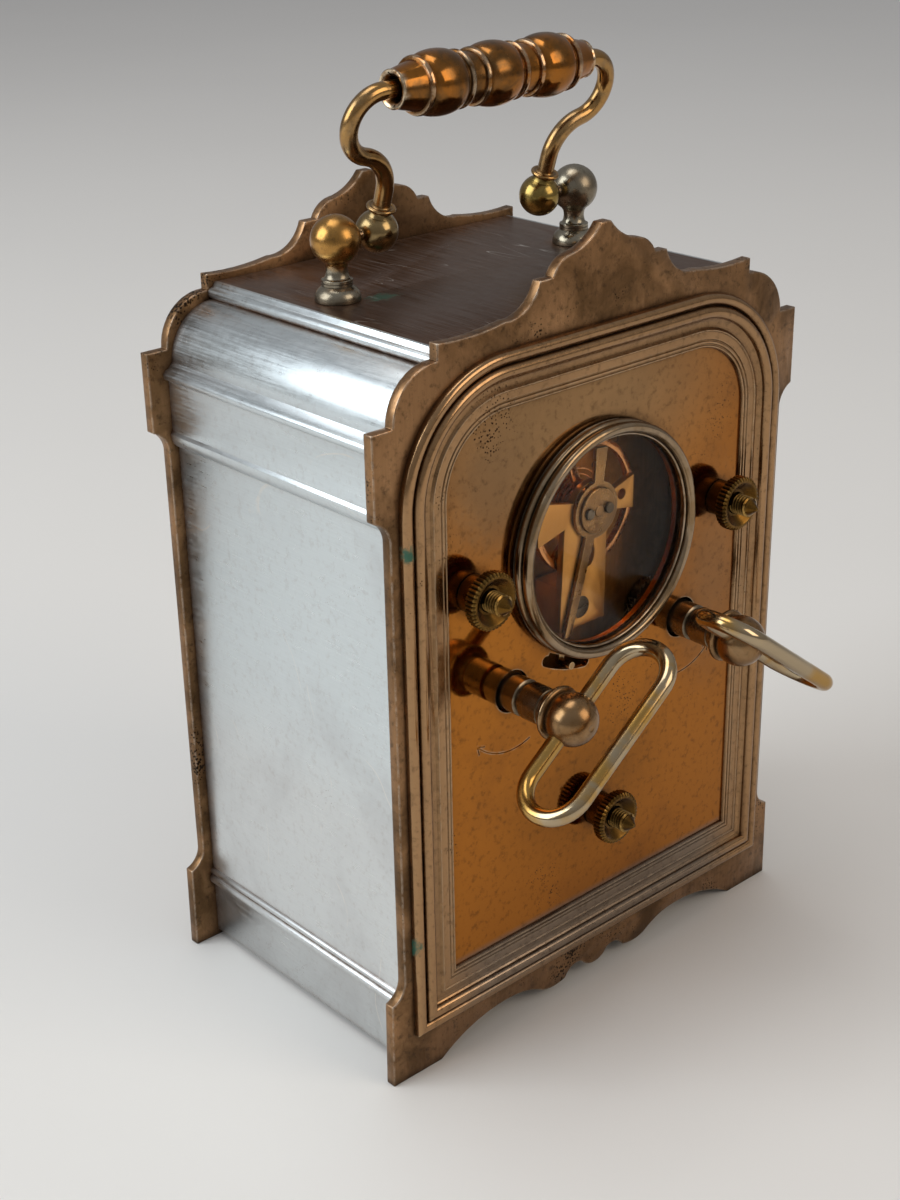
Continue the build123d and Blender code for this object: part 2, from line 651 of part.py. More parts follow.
with BuildPart() as post_nuts:
    nut_top = BODY_TOP - SHEET
    for side in (1, -1):
        with BuildSketch(Plane.XY.offset(nut_top)):
            with Locations((side * POST_X, post_y)):
                RegularPolygon(2.6, 6)
                Circle(1.2 + SEATED, mode=Mode.SUBTRACT)
        extrude(amount=-1.8)
save(post_nuts, "post_nuts")

with BuildPart() as pivot_pins:
    pin_end = HANDLE_BALL_X - HANDLE_BALL_RADIUS * 0.5
    for side in (1, -1):
        with Locations(Location((side * (POST_X + pin_end) / 2, post_y, PIVOT_Z), (0, 90, 0))):
            Cylinder(PIVOT_PIN_RADIUS, POST_X - pin_end)
save(pivot_pins, "pivot_pins")

# Handle: bent wire with ball ends and collars, leaning as it stands
lean = radians(HANDLE_LEAN)
handle_plane = Plane(origin=(0, post_y, PIVOT_Z), x_dir=(1, 0, 0), z_dir=(0, -cos(lean), sin(lean)))
handle_up = handle_plane.y_dir

with BuildPart() as handle_wire:
    bow_x = HANDLE_BOW_X - HANDLE_BOW_RADIUS
    bow_height = HANDLE_REACH - HANDLE_BOW_RADIUS
    across = HANDLE_BALL_X - bow_x
    climb = bow_height - HANDLE_RISE
    bend = (across**2 + climb**2 - HANDLE_BOW_RADIUS**2) / (2 * (HANDLE_BOW_RADIUS - across))
    turn = 180 - degrees(atan2(climb, bow_x - HANDLE_BALL_X - bend))
    with BuildLine(handle_plane) as handle_path:
        Line((HANDLE_BALL_X, 0), (HANDLE_BALL_X, HANDLE_RISE))
        first_bend = JernArc((HANDLE_BALL_X, HANDLE_RISE), (0, 1), bend, -turn)
        bow = JernArc(first_bend @ 1, first_bend % 1, HANDLE_BOW_RADIUS, 90 + turn)
        Line(bow @ 1, (0, HANDLE_REACH))
    with BuildSketch(Plane(origin=handle_path.line @ 0, z_dir=handle_up)):
        Circle(HANDLE_WIRE)
    sweep(path=handle_path.line)
    with Locations((HANDLE_BALL_X, post_y, PIVOT_Z)):
        Sphere(HANDLE_BALL_RADIUS)
    collar_axis = Axis(handle_plane.from_local_coords((HANDLE_BALL_X, 0, 0)), handle_up)
    with BuildSketch(handle_plane):
        with BuildLine():
            Polyline(*[(HANDLE_BALL_X + r, h) for r, h in (
                (0, 2.4), (1.6, 2.4), (1.6, 3.2), (1.95, 3.4), (1.95, 4.0), (1.5, 4.3), (1.5, 4.7),
                (1.8, 4.9), (1.8, 5.4), (0, 6.0))], close=True)
        make_face()
    revolve(axis=collar_axis)
    with Locations(Location((HANDLE_BALL_X, post_y, PIVOT_Z), (0, 90, 0))):
        Cylinder(PIVOT_PIN_RADIUS + RUNNING, 3 * HANDLE_BALL_RADIUS, mode=Mode.SUBTRACT)
    mirror(about=Plane.YZ)
save(handle_wire, "handle_wire")

with BuildPart() as handle_grip:
    grip_axis = Axis(handle_plane.from_local_coords((0, HANDLE_REACH, 0)), (1, 0, 0))
    bulb = GRIP_BULB_SPACING
    neck = GRIP_NECK_RADIUS
    collar_middle = bulb / 2
    swell = bulb / 2 - 1.5
    with BuildSketch(handle_plane):
        with BuildLine():
            bore = HANDLE_WIRE + RUNNING
            Line(grip_point(0, bore), grip_point(0, GRIP_BULB_RADIUS))
            ThreePointArc(grip_point(0, GRIP_BULB_RADIUS),
                          grip_point(swell * 0.6, GRIP_BULB_RADIUS - 0.45), grip_point(swell, neck + 0.2))
            Polyline(grip_point(swell, neck + 0.2), grip_point(collar_middle - 1.1, neck),
                     grip_point(collar_middle - 1.0, neck + 0.9), grip_point(collar_middle - 0.2, neck + 0.9),
                     grip_point(collar_middle, neck + 0.4), grip_point(collar_middle + 0.2, neck + 0.9),
                     grip_point(collar_middle + 1.0, neck + 0.9), grip_point(collar_middle + 1.1, neck),
                     grip_point(bulb - swell, neck + 0.2))
            ThreePointArc(grip_point(bulb - swell, neck + 0.2), grip_point(bulb, GRIP_BULB_RADIUS),
                          grip_point(bulb + swell, neck + 0.2))
            end_collar = bulb + collar_middle
            Polyline(grip_point(bulb + swell, neck + 0.2), grip_point(end_collar - 1.1, neck),
                     grip_point(end_collar - 1.0, neck + 0.9), grip_point(end_collar - 0.2, neck + 0.9),
                     grip_point(end_collar, neck + 0.4), grip_point(end_collar + 0.2, neck + 0.7),
                     grip_point(GRIP_HALF_LENGTH, neck - 0.1), grip_point(GRIP_HALF_LENGTH, bore),
                     grip_point(0, bore))
        make_face()
    revolve(axis=grip_axis)
    mirror(about=Plane.YZ)
save(handle_grip, "handle_grip")

# Movement plates with their pivot holes, and the hairspring's stud on the rear one
spring_step = HAIRSPRING_PITCH / 2
outer_radius = HAIRSPRING_INNER + (HAIRSPRING_HALF_TURNS - 1) * spring_step
last_shift = 0 if HAIRSPRING_HALF_TURNS % 2 else spring_step
spring_end = (balance[0] + last_shift - outer_radius, balance[1])
with BuildPart() as rear_plate:
    rod(centre, MOVEMENT_RADIUS, plate_back, plate_inside)
    with BuildSketch(layer(plate_back)):
        with Locations(*PILLARS):
            Circle(STUD_RADIUS + SEATED)
        with Locations(*keys.values()):
            Circle(WINDING_ARBOR_RADIUS + RUNNING)
        with Locations(centre, third, fourth, escape, alarm_arbor, hammer, lever_pivot):
            Circle(PIVOT_RADIUS + RUNNING)
        with Locations(balance):
            Circle(STAFF_RADIUS * 4)
    extrude(amount=MOVEMENT_PLATE, mode=Mode.SUBTRACT)
    with BuildSketch(layer(HAIRSPRING_DEPTH - 0.3)):
        with Locations((spring_end[0], spring_end[1] - 0.7)):
            Rectangle(1.2, 1.4)
    extrude(amount=plate_back - HAIRSPRING_DEPTH + 0.3)
save(rear_plate, "movement_rear_plate")

with BuildPart() as front_movement_plate:
    rod(centre, MOVEMENT_RADIUS, front_inside, front_outside)
    with BuildSketch(layer(front_inside)):
        with Locations(*keys.values()):
            Circle(WINDING_PIVOT_RADIUS + RUNNING)
        with Locations(third, fourth, escape, alarm_arbor):
            Circle(PIVOT_RADIUS + RUNNING)
        with Locations(centre):
            Circle(CANNON_BORE)
        with Locations(*PILLARS):
            Circle(STUD_RADIUS + SEATED)
    extrude(amount=MOVEMENT_PLATE, mode=Mode.SUBTRACT)
    minute_stud_end = front_outside + 4.6
    rod(minute_arbor, 0.6, front_outside, minute_stud_end)
save(front_movement_plate, "movement_front_plate")

# Pillars with long threaded studs, sleeves behind the rear plate, and thumb nuts
with BuildPart() as pillars:
    for place in PILLARS:
        turned(place, [(0, -STUD_HEIGHT), (STUD_RADIUS, -STUD_HEIGHT + 1.5), (STUD_RADIUS, plate_inside),
                       (PILLAR_RADIUS, plate_inside), (PILLAR_RADIUS, front_inside),
                       (STUD_RADIUS, front_inside), (STUD_RADIUS, front_outside), (0, front_outside)])
save(pillars, "pillars")

with BuildPart() as pillar_sleeves:
    for place in PILLARS:
        rod(place, PILLAR_RADIUS, PANEL_THICKNESS, plate_back)
        rod(place, STUD_RADIUS + RUNNING, 0, plate_back + 1, mode=Mode.SUBTRACT)
save(pillar_sleeves, "pillar_sleeves")

with BuildPart() as thumb_nuts:
    nut_near = -NUT_BOSS_HEIGHT - NUT_THICKNESS
    for place in PILLARS:
        with BuildSketch(layer(nut_near)):
            with Locations(place):
                Circle(NUT_RADIUS)
                with PolarLocations(NUT_RADIUS, NUT_GROOVES):
                    Circle(0.22, mode=Mode.SUBTRACT)
        extrude(amount=NUT_THICKNESS)
        rod(place, NUT_BOSS_RADIUS, -NUT_BOSS_HEIGHT, 0)
        turned(place, [(0, nut_near), (NUT_RADIUS - 0.7, nut_near), (NUT_BOSS_RADIUS, nut_near + 0.8),
                       (0, nut_near + 0.8)], mode=Mode.SUBTRACT)
        rod(place, STUD_RADIUS + RUNNING, nut_near - 1, 1, mode=Mode.SUBTRACT)
save(thumb_nuts, "thumb_nuts")

# Winding side by side: key, loop, arbor with ratchet, barrel, spring, click and click spring
arbor_end = front_outside
pipe_inner = ratchet_near
square_end = -5.0
for name, side in SIDES:
    place = keys[name]
    with BuildPart() as key:
        ball_y = depth_y(-KEY_BALL_HEIGHT)
        ball_start = -KEY_PIPE_HEIGHT - KEY_COLLAR_HEIGHT
        ball_foot = (KEY_BALL_RADIUS**2 - (KEY_BALL_HEIGHT + ball_start)**2)**0.5
        with BuildSketch(Plane(origin=(place[0], 0, place[1]), x_dir=(1, 0, 0), z_dir=(0, 0, 1))):
            with BuildLine():
                Polyline(*[(radius, depth_y(depth)) for radius, depth in (
                    (0, pipe_inner), (KEY_PIPE_RADIUS, pipe_inner), (KEY_PIPE_RADIUS, -2.9),
                    (KEY_PIPE_RADIUS - 0.35, -3.1), (KEY_PIPE_RADIUS - 0.35, -3.4), (KEY_PIPE_RADIUS, -3.6),
                    (KEY_PIPE_RADIUS, -KEY_PIPE_HEIGHT), (KEY_COLLAR_RADIUS, -KEY_PIPE_HEIGHT),
                    (KEY_COLLAR_RADIUS, ball_start), (ball_foot, ball_start))])
                ThreePointArc((ball_foot, depth_y(ball_start)), (KEY_BALL_RADIUS, ball_y),
                              (0, ball_y + KEY_BALL_RADIUS))
                Line((0, ball_y + KEY_BALL_RADIUS), (0, depth_y(pipe_inner)))
            make_face()
        revolve(axis=Axis((place[0], 0, place[1]), (0, 1, 0)))
        with BuildSketch(layer(pipe_inner)):
            with Locations(place):
                Rectangle(KEY_SQUARE + 2 * SEATED, KEY_SQUARE + 2 * SEATED)
        extrude(amount=square_end - pipe_inner, mode=Mode.SUBTRACT)
        loop_direction = 90 + side * (90 - LOOP_TILT)
        loop_x = (cos(radians(loop_direction)), 0, sin(radians(loop_direction)))
        with Locations(Plane(origin=(place[0], depth_y(-KEY_BALL_HEIGHT), place[1]),
                             x_dir=(0, 1, 0), z_dir=loop_x)):
            Cylinder(LOOP_WIRE + SEATED, 3 * KEY_BALL_RADIUS, mode=Mode.SUBTRACT)
    save(key, f"{name}_key")

    loop_plane = Plane(origin=(place[0], depth_y(-KEY_BALL_HEIGHT), place[1]), x_dir=loop_x,
                       z_dir=(-loop_x[2], 0, loop_x[0]))
    outward = loop_plane.y_dir.Y
    straight = LOOP_HALF_LENGTH - LOOP_WIDTH / 2
    far_side = LOOP_WIDTH * outward
    with BuildPart() as loop:
        with BuildLine(loop_plane) as loop_path:
            Line((0, 0), (straight, 0))
            ThreePointArc((straight, 0), (LOOP_HALF_LENGTH, far_side / 2), (straight, far_side))
            Line((straight, far_side), (-straight, far_side))
            ThreePointArc((-straight, far_side), (-LOOP_HALF_LENGTH, far_side / 2), (-straight, 0))
            Line((-straight, 0), (0, 0))
        with BuildSketch(Plane(origin=loop_plane.origin, z_dir=loop_x)):
            Circle(LOOP_WIRE)
        sweep(path=loop_path.line)
    save(loop, f"{name}_key_loop")

    with BuildPart() as winding_arbor:
        rod(place, WINDING_PIVOT_RADIUS, front_inside - 0.2, arbor_end)
        rod(place, WINDING_ARBOR_RADIUS, pipe_inner, front_inside - 0.2)
        with BuildSketch(layer(pipe_inner)):
            with Locations(place):
                Rectangle(KEY_SQUARE, KEY_SQUARE)
        extrude(amount=square_end + 0.5 - pipe_inner)
        saw_wheel(place, RATCHET_TEETH, RATCHET_RADIUS, ratchet_near, ratchet_far, RATCHET_TOOTH)
    save(winding_arbor, f"{name}_winding_arbor")

    mesh_target = centre if name == "time" else alarm_arbor
    with BuildPart() as barrel:
        wheel_near = great_near[name]
        wheel_far = great_far[name]
        toothed_wheel(place, GREAT_TEETH, great_module, wheel_near, wheel_far,
                      direction_of(place, mesh_target))
        rod(place, BARREL_RADIUS, BARREL_DEPTH, wheel_near)
        rod(place, BARREL_RADIUS - BARREL_WALL, BARREL_DEPTH - 1, wheel_near, mode=Mode.SUBTRACT)
        rod(place, BARREL_RADIUS - BARREL_WALL - SEATED, BARREL_DEPTH, BARREL_DEPTH + BARREL_CAP)
        rod(place, WINDING_ARBOR_RADIUS + RUNNING, BARREL_DEPTH - 1, wheel_far + 1, mode=Mode.SUBTRACT)
    save(barrel, f"{name}_barrel")

    with BuildPart() as mainspring:
        rod(place, BARREL_RADIUS - BARREL_WALL - SEATED, BARREL_DEPTH + BARREL_CAP + 0.2, wheel_near - 0.2)
        rod(place, BARREL_RADIUS * 0.45, BARREL_DEPTH, wheel_near, mode=Mode.SUBTRACT)
    save(mainspring, f"{name}_mainspring")

    click_direction = CLICK_ANGLE if side > 0 else 180 - CLICK_ANGLE
    click_place = polar(place, CLICK_DISTANCE, click_direction)
    tip = polar(place, RATCHET_RADIUS + 0.5, click_direction + side * 48)
    with BuildPart() as click:
        rod(click_place, 1.4, ratchet_near, ratchet_far)
        bar(click_place, tip, 1.6, 0.6, ratchet_near, ratchet_far)
        rod(click_place, 0.7 + RUNNING, ratchet_near - 1, ratchet_far + 1, mode=Mode.SUBTRACT)
    save(click, f"{name}_click")

# Click springs on the rear plate
with BuildPart() as click_springs:
    for name, side in SIDES:
        click_direction = CLICK_ANGLE if side > 0 else 180 - CLICK_ANGLE
        click_place = polar(keys[name], CLICK_DISTANCE, click_direction)
        tip = polar(keys[name], RATCHET_RADIUS + 0.5, click_direction + side * 48)
        along = direction_of(click_place, tip)
        foot = polar(click_place, 4.6, along - side * 110)
        touch = polar(polar(click_place, 3.2, along), 1.3, along - side * 90)
        rod(foot, 1.0, ratchet_near + 0.1, plate_back)
        bar(foot, touch, 0.5, 0.3, ratchet_near + 0.3, ratchet_far - 0.2)
save(click_springs, "click_springs")

# Going train
with BuildPart() as centre_wheel:
    rod(centre, PIVOT_RADIUS, plate_back, plate_inside + 0.1)
    rod(centre, 1.0, plate_inside + 0.1, front_inside - 0.1)
    rod(centre, CANNON_BORE - RUNNING, front_inside - 0.1, DIAL_DEPTH + 3.4)
    toothed_wheel(centre, CENTRE_TEETH, CENTRE_MODULE, centre_wheel_near, centre_wheel_near + WHEEL_THICKNESS,
                  direction_of(centre, third))
    toothed_wheel(centre, CENTRE_PINION, great_module, great_near["time"] - 0.3, great_far["time"] + 0.3,
                  direction_of(centre, keys["time"]) + 180 / CENTRE_PINION)
save(centre_wheel, "centre_wheel")

with BuildPart() as third_wheel:
    rod(third, PIVOT_RADIUS, plate_back + 0.1, front_outside - 0.1)
    rod(third, ARBOR_RADIUS, plate_inside + 0.1, front_inside - 0.1)
    toothed_wheel(third, THIRD_TEETH, THIRD_MODULE, third_wheel_near, third_wheel_near + 0.7,
                  direction_of(third, fourth))
    toothed_wheel(third, THIRD_PINION, CENTRE_MODULE, centre_wheel_near - 0.2,
                  centre_wheel_near + WHEEL_THICKNESS + 0.2, direction_of(third, centre) + 180 / THIRD_PINION)
save(third_wheel, "third_wheel")

with BuildPart() as fourth_wheel:
    rod(fourth, PIVOT_RADIUS, plate_back + 0.1, front_outside - 0.1)
    rod(fourth, ARBOR_RADIUS * 0.8, plate_inside + 0.1, front_inside - 0.1)
    toothed_wheel(fourth, FOURTH_TEETH, FOURTH_MODULE, fourth_wheel_near, fourth_wheel_near + WHEEL_THICKNESS,
                  direction_of(fourth, escape))
    toothed_wheel(fourth, FOURTH_PINION, THIRD_MODULE, third_wheel_near - 0.2, third_wheel_near + 0.9,
                  direction_of(fourth, third) + 180 / FOURTH_PINION)
save(fourth_wheel, "fourth_wheel")

with BuildPart() as escape_wheel:
    rod(escape, PIVOT_RADIUS, plate_back + 0.1, front_outside - 0.1)
    saw_wheel(escape, ESCAPE_TEETH, ESCAPE_RADIUS, escape_near, escape_near + 0.7, 1.3)
    toothed_wheel(escape, ESCAPE_PINION, FOURTH_MODULE, fourth_wheel_near - 0.2,
                  fourth_wheel_near + WHEEL_THICKNESS + 0.2,
                  direction_of(escape, fourth) + 180 / ESCAPE_PINION)
save(escape_wheel, "escape_wheel")

with BuildPart() as pallet_lever:
    to_escape = direction_of(lever_pivot, escape)
    rod(lever_pivot, PIVOT_RADIUS, plate_back + 0.1, bridge_near + 1.0)
    rod(lever_pivot, 0.9, escape_near - 0.3, bridge_near - 0.1)
    fork = polar(lever_pivot, LEVER_LENGTH - 1.7, to_escape + 180)
    bar(lever_pivot, fork, 1.3, 1.0, escape_near, escape_near + 0.7)
    for sign in (1, -1):
        pad = polar(escape, ESCAPE_RADIUS + 0.9, to_escape + 180 + sign * 40)
        bar(lever_pivot, pad, 1.1, 0.9, escape_near, escape_near + 0.7)
save(pallet_lever, "pallet_lever")

with BuildPart() as escapement_bridge:
    far_foot = polar(balance, 5.0, direction_of(escape, balance))
    near_foot = polar(lever_pivot, 6.6, direction_of(balance, escape) - 75)
    bridge_far = bridge_near + 1.0
    bar(far_foot, lever_pivot, 2.6, 2.6, bridge_near, bridge_far)
    bar(lever_pivot, near_foot, 2.6, 2.4, bridge_near, bridge_far)
    for place in (far_foot, lever_pivot, near_foot):
        rod(place, 1.6, bridge_near, bridge_far)
    for place in (far_foot, near_foot):
        rod(place, 1.3, plate_inside, bridge_near)
    rod(balance, STAFF_RADIUS * 0.7 + RUNNING, bridge_near - 1, bridge_far + 1, mode=Mode.SUBTRACT)
    rod(lever_pivot, PIVOT_RADIUS + RUNNING, bridge_near - 1, bridge_far + 1, mode=Mode.SUBTRACT)
save(escapement_bridge, "escapement_bridge")

# Balance wheel with staff and roller
with BuildPart() as balance_wheel:
    rim_far = BALANCE_DEPTH + BALANCE_THICKNESS
    rod(balance, BALANCE_RADIUS, BALANCE_DEPTH, rim_far)
    rod(balance, BALANCE_RADIUS - BALANCE_RIM, BALANCE_DEPTH, rim_far, mode=Mode.SUBTRACT)
    for spoke in range(3):
        outer = polar(balance, BALANCE_RADIUS - BALANCE_RIM / 2, 70 + spoke * 120)
        bar(balance, outer, 1.6, 1.1, BALANCE_DEPTH + 0.2, rim_far - 0.2)
    rod(balance, STAFF_RADIUS, COCK_DEPTH + COCK_THICKNESS + 0.1, bridge_near - 0.1)
    rod(balance, STAFF_RADIUS * 0.7, COCK_DEPTH + 0.1, bridge_near + 0.9)
    rod(balance, 1.2, BALANCE_DEPTH - 0.2, HAIRSPRING_DEPTH + HAIRSPRING_HEIGHT + 0.1)
    rod(balance, 1.3, plate_inside + 0.7, escape_near - 0.3)
save(balance_wheel, "balance_wheel")

# Hairspring: half turns about two centres, one strip from collet to stud
with BuildPart() as hairspring:
    with BuildSketch(layer(HAIRSPRING_DEPTH)):
        for half in range(HAIRSPRING_HALF_TURNS):
            shift = spring_step if half % 2 else 0
            radius = HAIRSPRING_INNER + half * spring_step
            inside = radius - HAIRSPRING_STRIP / 2
            outside = radius + HAIRSPRING_STRIP / 2
            swing = -1 if half % 2 else 1
            cx = balance[0] + shift
            cz = balance[1]
            with BuildLine():
                ThreePointArc((cx + inside, cz), (cx, cz + swing * inside), (cx - inside, cz))
                Line((cx - inside, cz), (cx - outside, cz))
                ThreePointArc((cx - outside, cz), (cx, cz + swing * outside), (cx + outside, cz))
                Line((cx + outside, cz), (cx + inside, cz))
            make_face()
    extrude(amount=HAIRSPRING_HEIGHT)
save(hairspring, "hairspring")
print("hairspring least gap to itself", round(HAIRSPRING_PITCH - HAIRSPRING_STRIP, 2))

# Balance cock with bow-tie wings, end cap, regulator and screws
cock_far = COCK_DEPTH + COCK_THICKNESS
with BuildPart() as balance_cock:
    with BuildSketch(layer(COCK_DEPTH)):
        with Locations(balance):
            Circle(INDEX_RING)
        Polygon((5.4, BALANCE_Z - 1.0), (6.3, BALANCE_Z - 17.0), (-2.6, BALANCE_Z - 17.0),
                (-2.9, BALANCE_Z - 1.5), align=None)
        Polygon((2.0, BALANCE_Z + 1.2), (10.5, BALANCE_Z + 3.4), (10.5, BALANCE_Z - 2.9),
                (2.0, BALANCE_Z - 0.8), align=None)
        Polygon((-2.0, BALANCE_Z + 1.0), (-8.2, BALANCE_Z + 2.9), (-8.2, BALANCE_Z - 2.0),
                (-2.0, BALANCE_Z - 0.8), align=None)
        with Locations((0.6, BALANCE_Z - 6.4)):
            Ellipse(1.1, 2.0, mode=Mode.SUBTRACT)
        with Locations((-5.8, BALANCE_Z + 0.6)):
            Circle(0.8, mode=Mode.SUBTRACT)
        with Locations(balance):
            Circle(STAFF_RADIUS * 0.7 + RUNNING, mode=Mode.SUBTRACT)
    extrude(amount=COCK_THICKNESS)
    foot_top = BALANCE_Z - BALANCE_RADIUS - 0.8
    with BuildSketch(layer(COCK_DEPTH)):
        Polygon((5.7, foot_top), (6.3, BALANCE_Z - 17.0), (-2.6, BALANCE_Z - 17.0), (-2.7, foot_top),
                align=None)
    extrude(amount=plate_back - COCK_DEPTH)
    cock_screw = (2.1, BALANCE_Z - 14.2)
    rod(cock_screw, 0.9 + SEATED, COCK_DEPTH - 1, plate_back + 1, mode=Mode.SUBTRACT)
    rod(cock_screw, 1.6 + SEATED, COCK_DEPTH - 1, COCK_DEPTH + 0.9, mode=Mode.SUBTRACT)
save(balance_cock, "balance_cock")

cap_near = COCK_DEPTH - 1.2
cap_screws = [(balance[0] + s * 1.9, balance[1]) for s in (1, -1)]
with BuildPart() as end_cap:
    rod(balance, CAP_RADIUS, cap_near, COCK_DEPTH)
    for place in cap_screws:
        rod(place, 0.5 + SEATED, cap_near - 1, COCK_DEPTH + 1, mode=Mode.SUBTRACT)
    rod(balance, 0.8, cap_near - 0.2, cap_near)
save(end_cap, "end_cap")

with BuildPart() as movement_screws:
    rod(cock_screw, 1.6, COCK_DEPTH, COCK_DEPTH + 0.9)
    rod(cock_screw, 0.9, COCK_DEPTH + 0.9, plate_back)
    with Locations((cock_screw[0], depth_y(COCK_DEPTH), cock_screw[1])):
        Box(3.4, 0.7, 0.4, mode=Mode.SUBTRACT)
    for place in cap_screws:
        rod(place, 0.75, cap_near - 0.4, cap_near)
        rod(place, 0.5, cap_near, COCK_DEPTH)
    for name, side in SIDES:
        click_direction = CLICK_ANGLE if side > 0 else 180 - CLICK_ANGLE
        click_place = polar(keys[name], CLICK_DISTANCE, click_direction)
        rod(click_place, 0.7, ratchet_near - 0.1, plate_back)
        rod(click_place, 1.3, ratchet_near - 0.9, ratchet_near - 0.1)
save(movement_screws, "movement_screws")

with BuildPart() as regulator:
    index_far = INDEX_DEPTH + INDEX_THICKNESS
    tail_end = polar(balance, INDEX_REACH, INDEX_ANGLE - 90)
    tail_start = polar(balance, INDEX_RING - 0.4, INDEX_ANGLE - 90)
    arm_end = polar(balance, INDEX_ARM_REACH, INDEX_ARM_ANGLE)
    arm_start = polar(balance, INDEX_RING - 0.4, INDEX_ARM_ANGLE)
    rod(balance, INDEX_RING, INDEX_DEPTH, index_far)
    rod(balance, CAP_RADIUS + RUNNING, INDEX_DEPTH - 1, index_far + 1, mode=Mode.SUBTRACT)
    bar(tail_start, tail_end, 1.7, 1.1, INDEX_DEPTH, index_far)
    bar(arm_start, arm_end, 1.7, 2.2, INDEX_DEPTH, index_far)
    rod(tail_end, INDEX_PIN_RADIUS, -0.9, index_far)
save(regulator, "regulator")

# Alarm train, hammer and bell
with BuildPart() as alarm_wheel:
    rod(alarm_arbor, PIVOT_RADIUS, plate_back + 0.1, front_outside - 0.1)
    rod(alarm_arbor, ARBOR_RADIUS, plate_inside + 0.1, front_inside - 0.1)
    saw_wheel(alarm_arbor, ALARM_WHEEL_TEETH, ALARM_WHEEL_RADIUS, alarm_wheel_near,
              alarm_wheel_near + WHEEL_THICKNESS, 1.2)
    toothed_wheel(alarm_arbor, ALARM_PINION, great_module,
                  great_near["alarm"] - 0.3, great_far["alarm"] + 0.3,
                  direction_of(alarm_arbor, keys["alarm"]) + 180 / ALARM_PINION)
save(alarm_wheel, "alarm_wheel")

with BuildPart() as alarm_hammer:
    rod(hammer, PIVOT_RADIUS, plate_back + 0.1, plate_inside + 0.2)
    rod(hammer, 0.9, plate_inside + 0.2, alarm_wheel_near + 2.4)
    verge = polar(hammer, 3.0, HAMMER_DIRECTION + 180 + 75)
    bar(hammer, verge, 1.2, 0.8, alarm_wheel_near, alarm_wheel_near + WHEEL_THICKNESS)
    shank_top = hammer
    shank_low = (HAMMER_HEAD_X - 0.4, HAMMER_HEAD_Z + 6.0)
    head = (HAMMER_HEAD_X, HAMMER_HEAD_Z)
    bar(shank_top, shank_low, 1.2, 1.2, HAMMER_DEPTH - 0.5, HAMMER_DEPTH + 0.5)
    bar(shank_low, head, 1.2, 1.2, HAMMER_DEPTH - 0.5, HAMMER_DEPTH + 0.5)
    with Locations((head[0], depth_y(HAMMER_DEPTH), head[1])):
        Sphere(HAMMER_HEAD_RADIUS)
save(alarm_hammer, "alarm_hammer")

with BuildPart() as bell:
    middle_y = depth_y(CASE_DEPTH / 2)
    low = BELL_BOTTOM_Z
    knee = BELL_RADIUS - 3.6
    upright(0, middle_y, [(1.0 + SEATED, low), (knee, low), (BELL_RADIUS - 1.0, low + 3.2),
                          (BELL_RADIUS - 0.3, low + 6.5), (BELL_RADIUS, BELL_RIM_Z),
                          (BELL_RADIUS - BELL_WALL, BELL_RIM_Z), (BELL_RADIUS - BELL_WALL - 0.3, low + 6.7),
                          (BELL_RADIUS - BELL_WALL - 1.0, low + 3.6), (knee - 0.4, low + BELL_WALL),
                          (1.0 + SEATED, low + BELL_WALL)])
save(bell, "bell")

with BuildPart() as bell_post:
    seat = FLANGE_HEIGHT
    upright(0, middle_y, [(0, seat - 3.0 * SHEET), (2.2, seat - 3.0 * SHEET), (2.2, seat - SHEET),
                          (1.0, seat - SHEET), (1.0, seat), (2.6, seat), (2.6, BELL_BOTTOM_Z),
                          (1.0, BELL_BOTTOM_Z), (1.0, BELL_BOTTOM_Z + BELL_WALL),
                          (2.4, BELL_BOTTOM_Z + BELL_WALL), (2.4, BELL_BOTTOM_Z + BELL_WALL + 1.6),
                          (0, BELL_BOTTOM_Z + BELL_WALL + 1.6)])
save(bell_post, "bell_post")

# Dial with three feet, and the surround between dial and front panel
dial_far = DIAL_DEPTH + DIAL_THICKNESS
with BuildPart() as dial:
    rod(centre, DIAL_RADIUS, DIAL_DEPTH, dial_far)
    for angle in (90, 210, 330):
        rod(polar(centre, DIAL_RADIUS - 3.0, angle), 1.0, front_outside, DIAL_DEPTH)
    rod(centre, 3.0, DIAL_DEPTH - 1, dial_far + 1, mode=Mode.SUBTRACT)
save(dial, "dial")

with BuildPart() as dial_surround:
    surround_far = CASE_DEPTH - PANEL_THICKNESS
    turned(centre, [(DIAL_RADIUS - 0.9, dial_far), (DIAL_RADIUS, dial_far),
                    (DOOR_OPENING + 1.4, surround_far), (DOOR_OPENING + 0.2, surround_far)])
save(dial_surround, "dial_surround")

# Motion work: cannon pinion, minute wheel and hour wheel
cannon_near = front_outside + 0.6
hour_near = cannon_near + 2.4
alarm_disc_near = hour_near + 2.5
alarm_hand_near = dial_far + 0.6
hour_hand_near = alarm_hand_near + HAND_SPACING
minute_hand_near = hour_hand_near + HAND_SPACING
cannon_outer = CANNON_BORE + TUBE_WALL
hour_bore = cannon_outer + RUNNING
hour_outer = hour_bore + TUBE_WALL
alarm_bore = hour_outer + RUNNING
alarm_outer = alarm_bore + TUBE_WALL
with BuildPart() as cannon_pinion:
    rod(centre, cannon_outer, cannon_near, minute_hand_near + HAND_THICKNESS)
    toothed_wheel(centre, CANNON_TEETH, CANNON_MODULE, cannon_near, cannon_near + 1.6,
                  direction_of(centre, minute_arbor) + 180 / CANNON_TEETH)
    rod(centre, CANNON_BORE, cannon_near - 1, minute_hand_near + 2, mode=Mode.SUBTRACT)
save(cannon_pinion, "cannon_pinion")

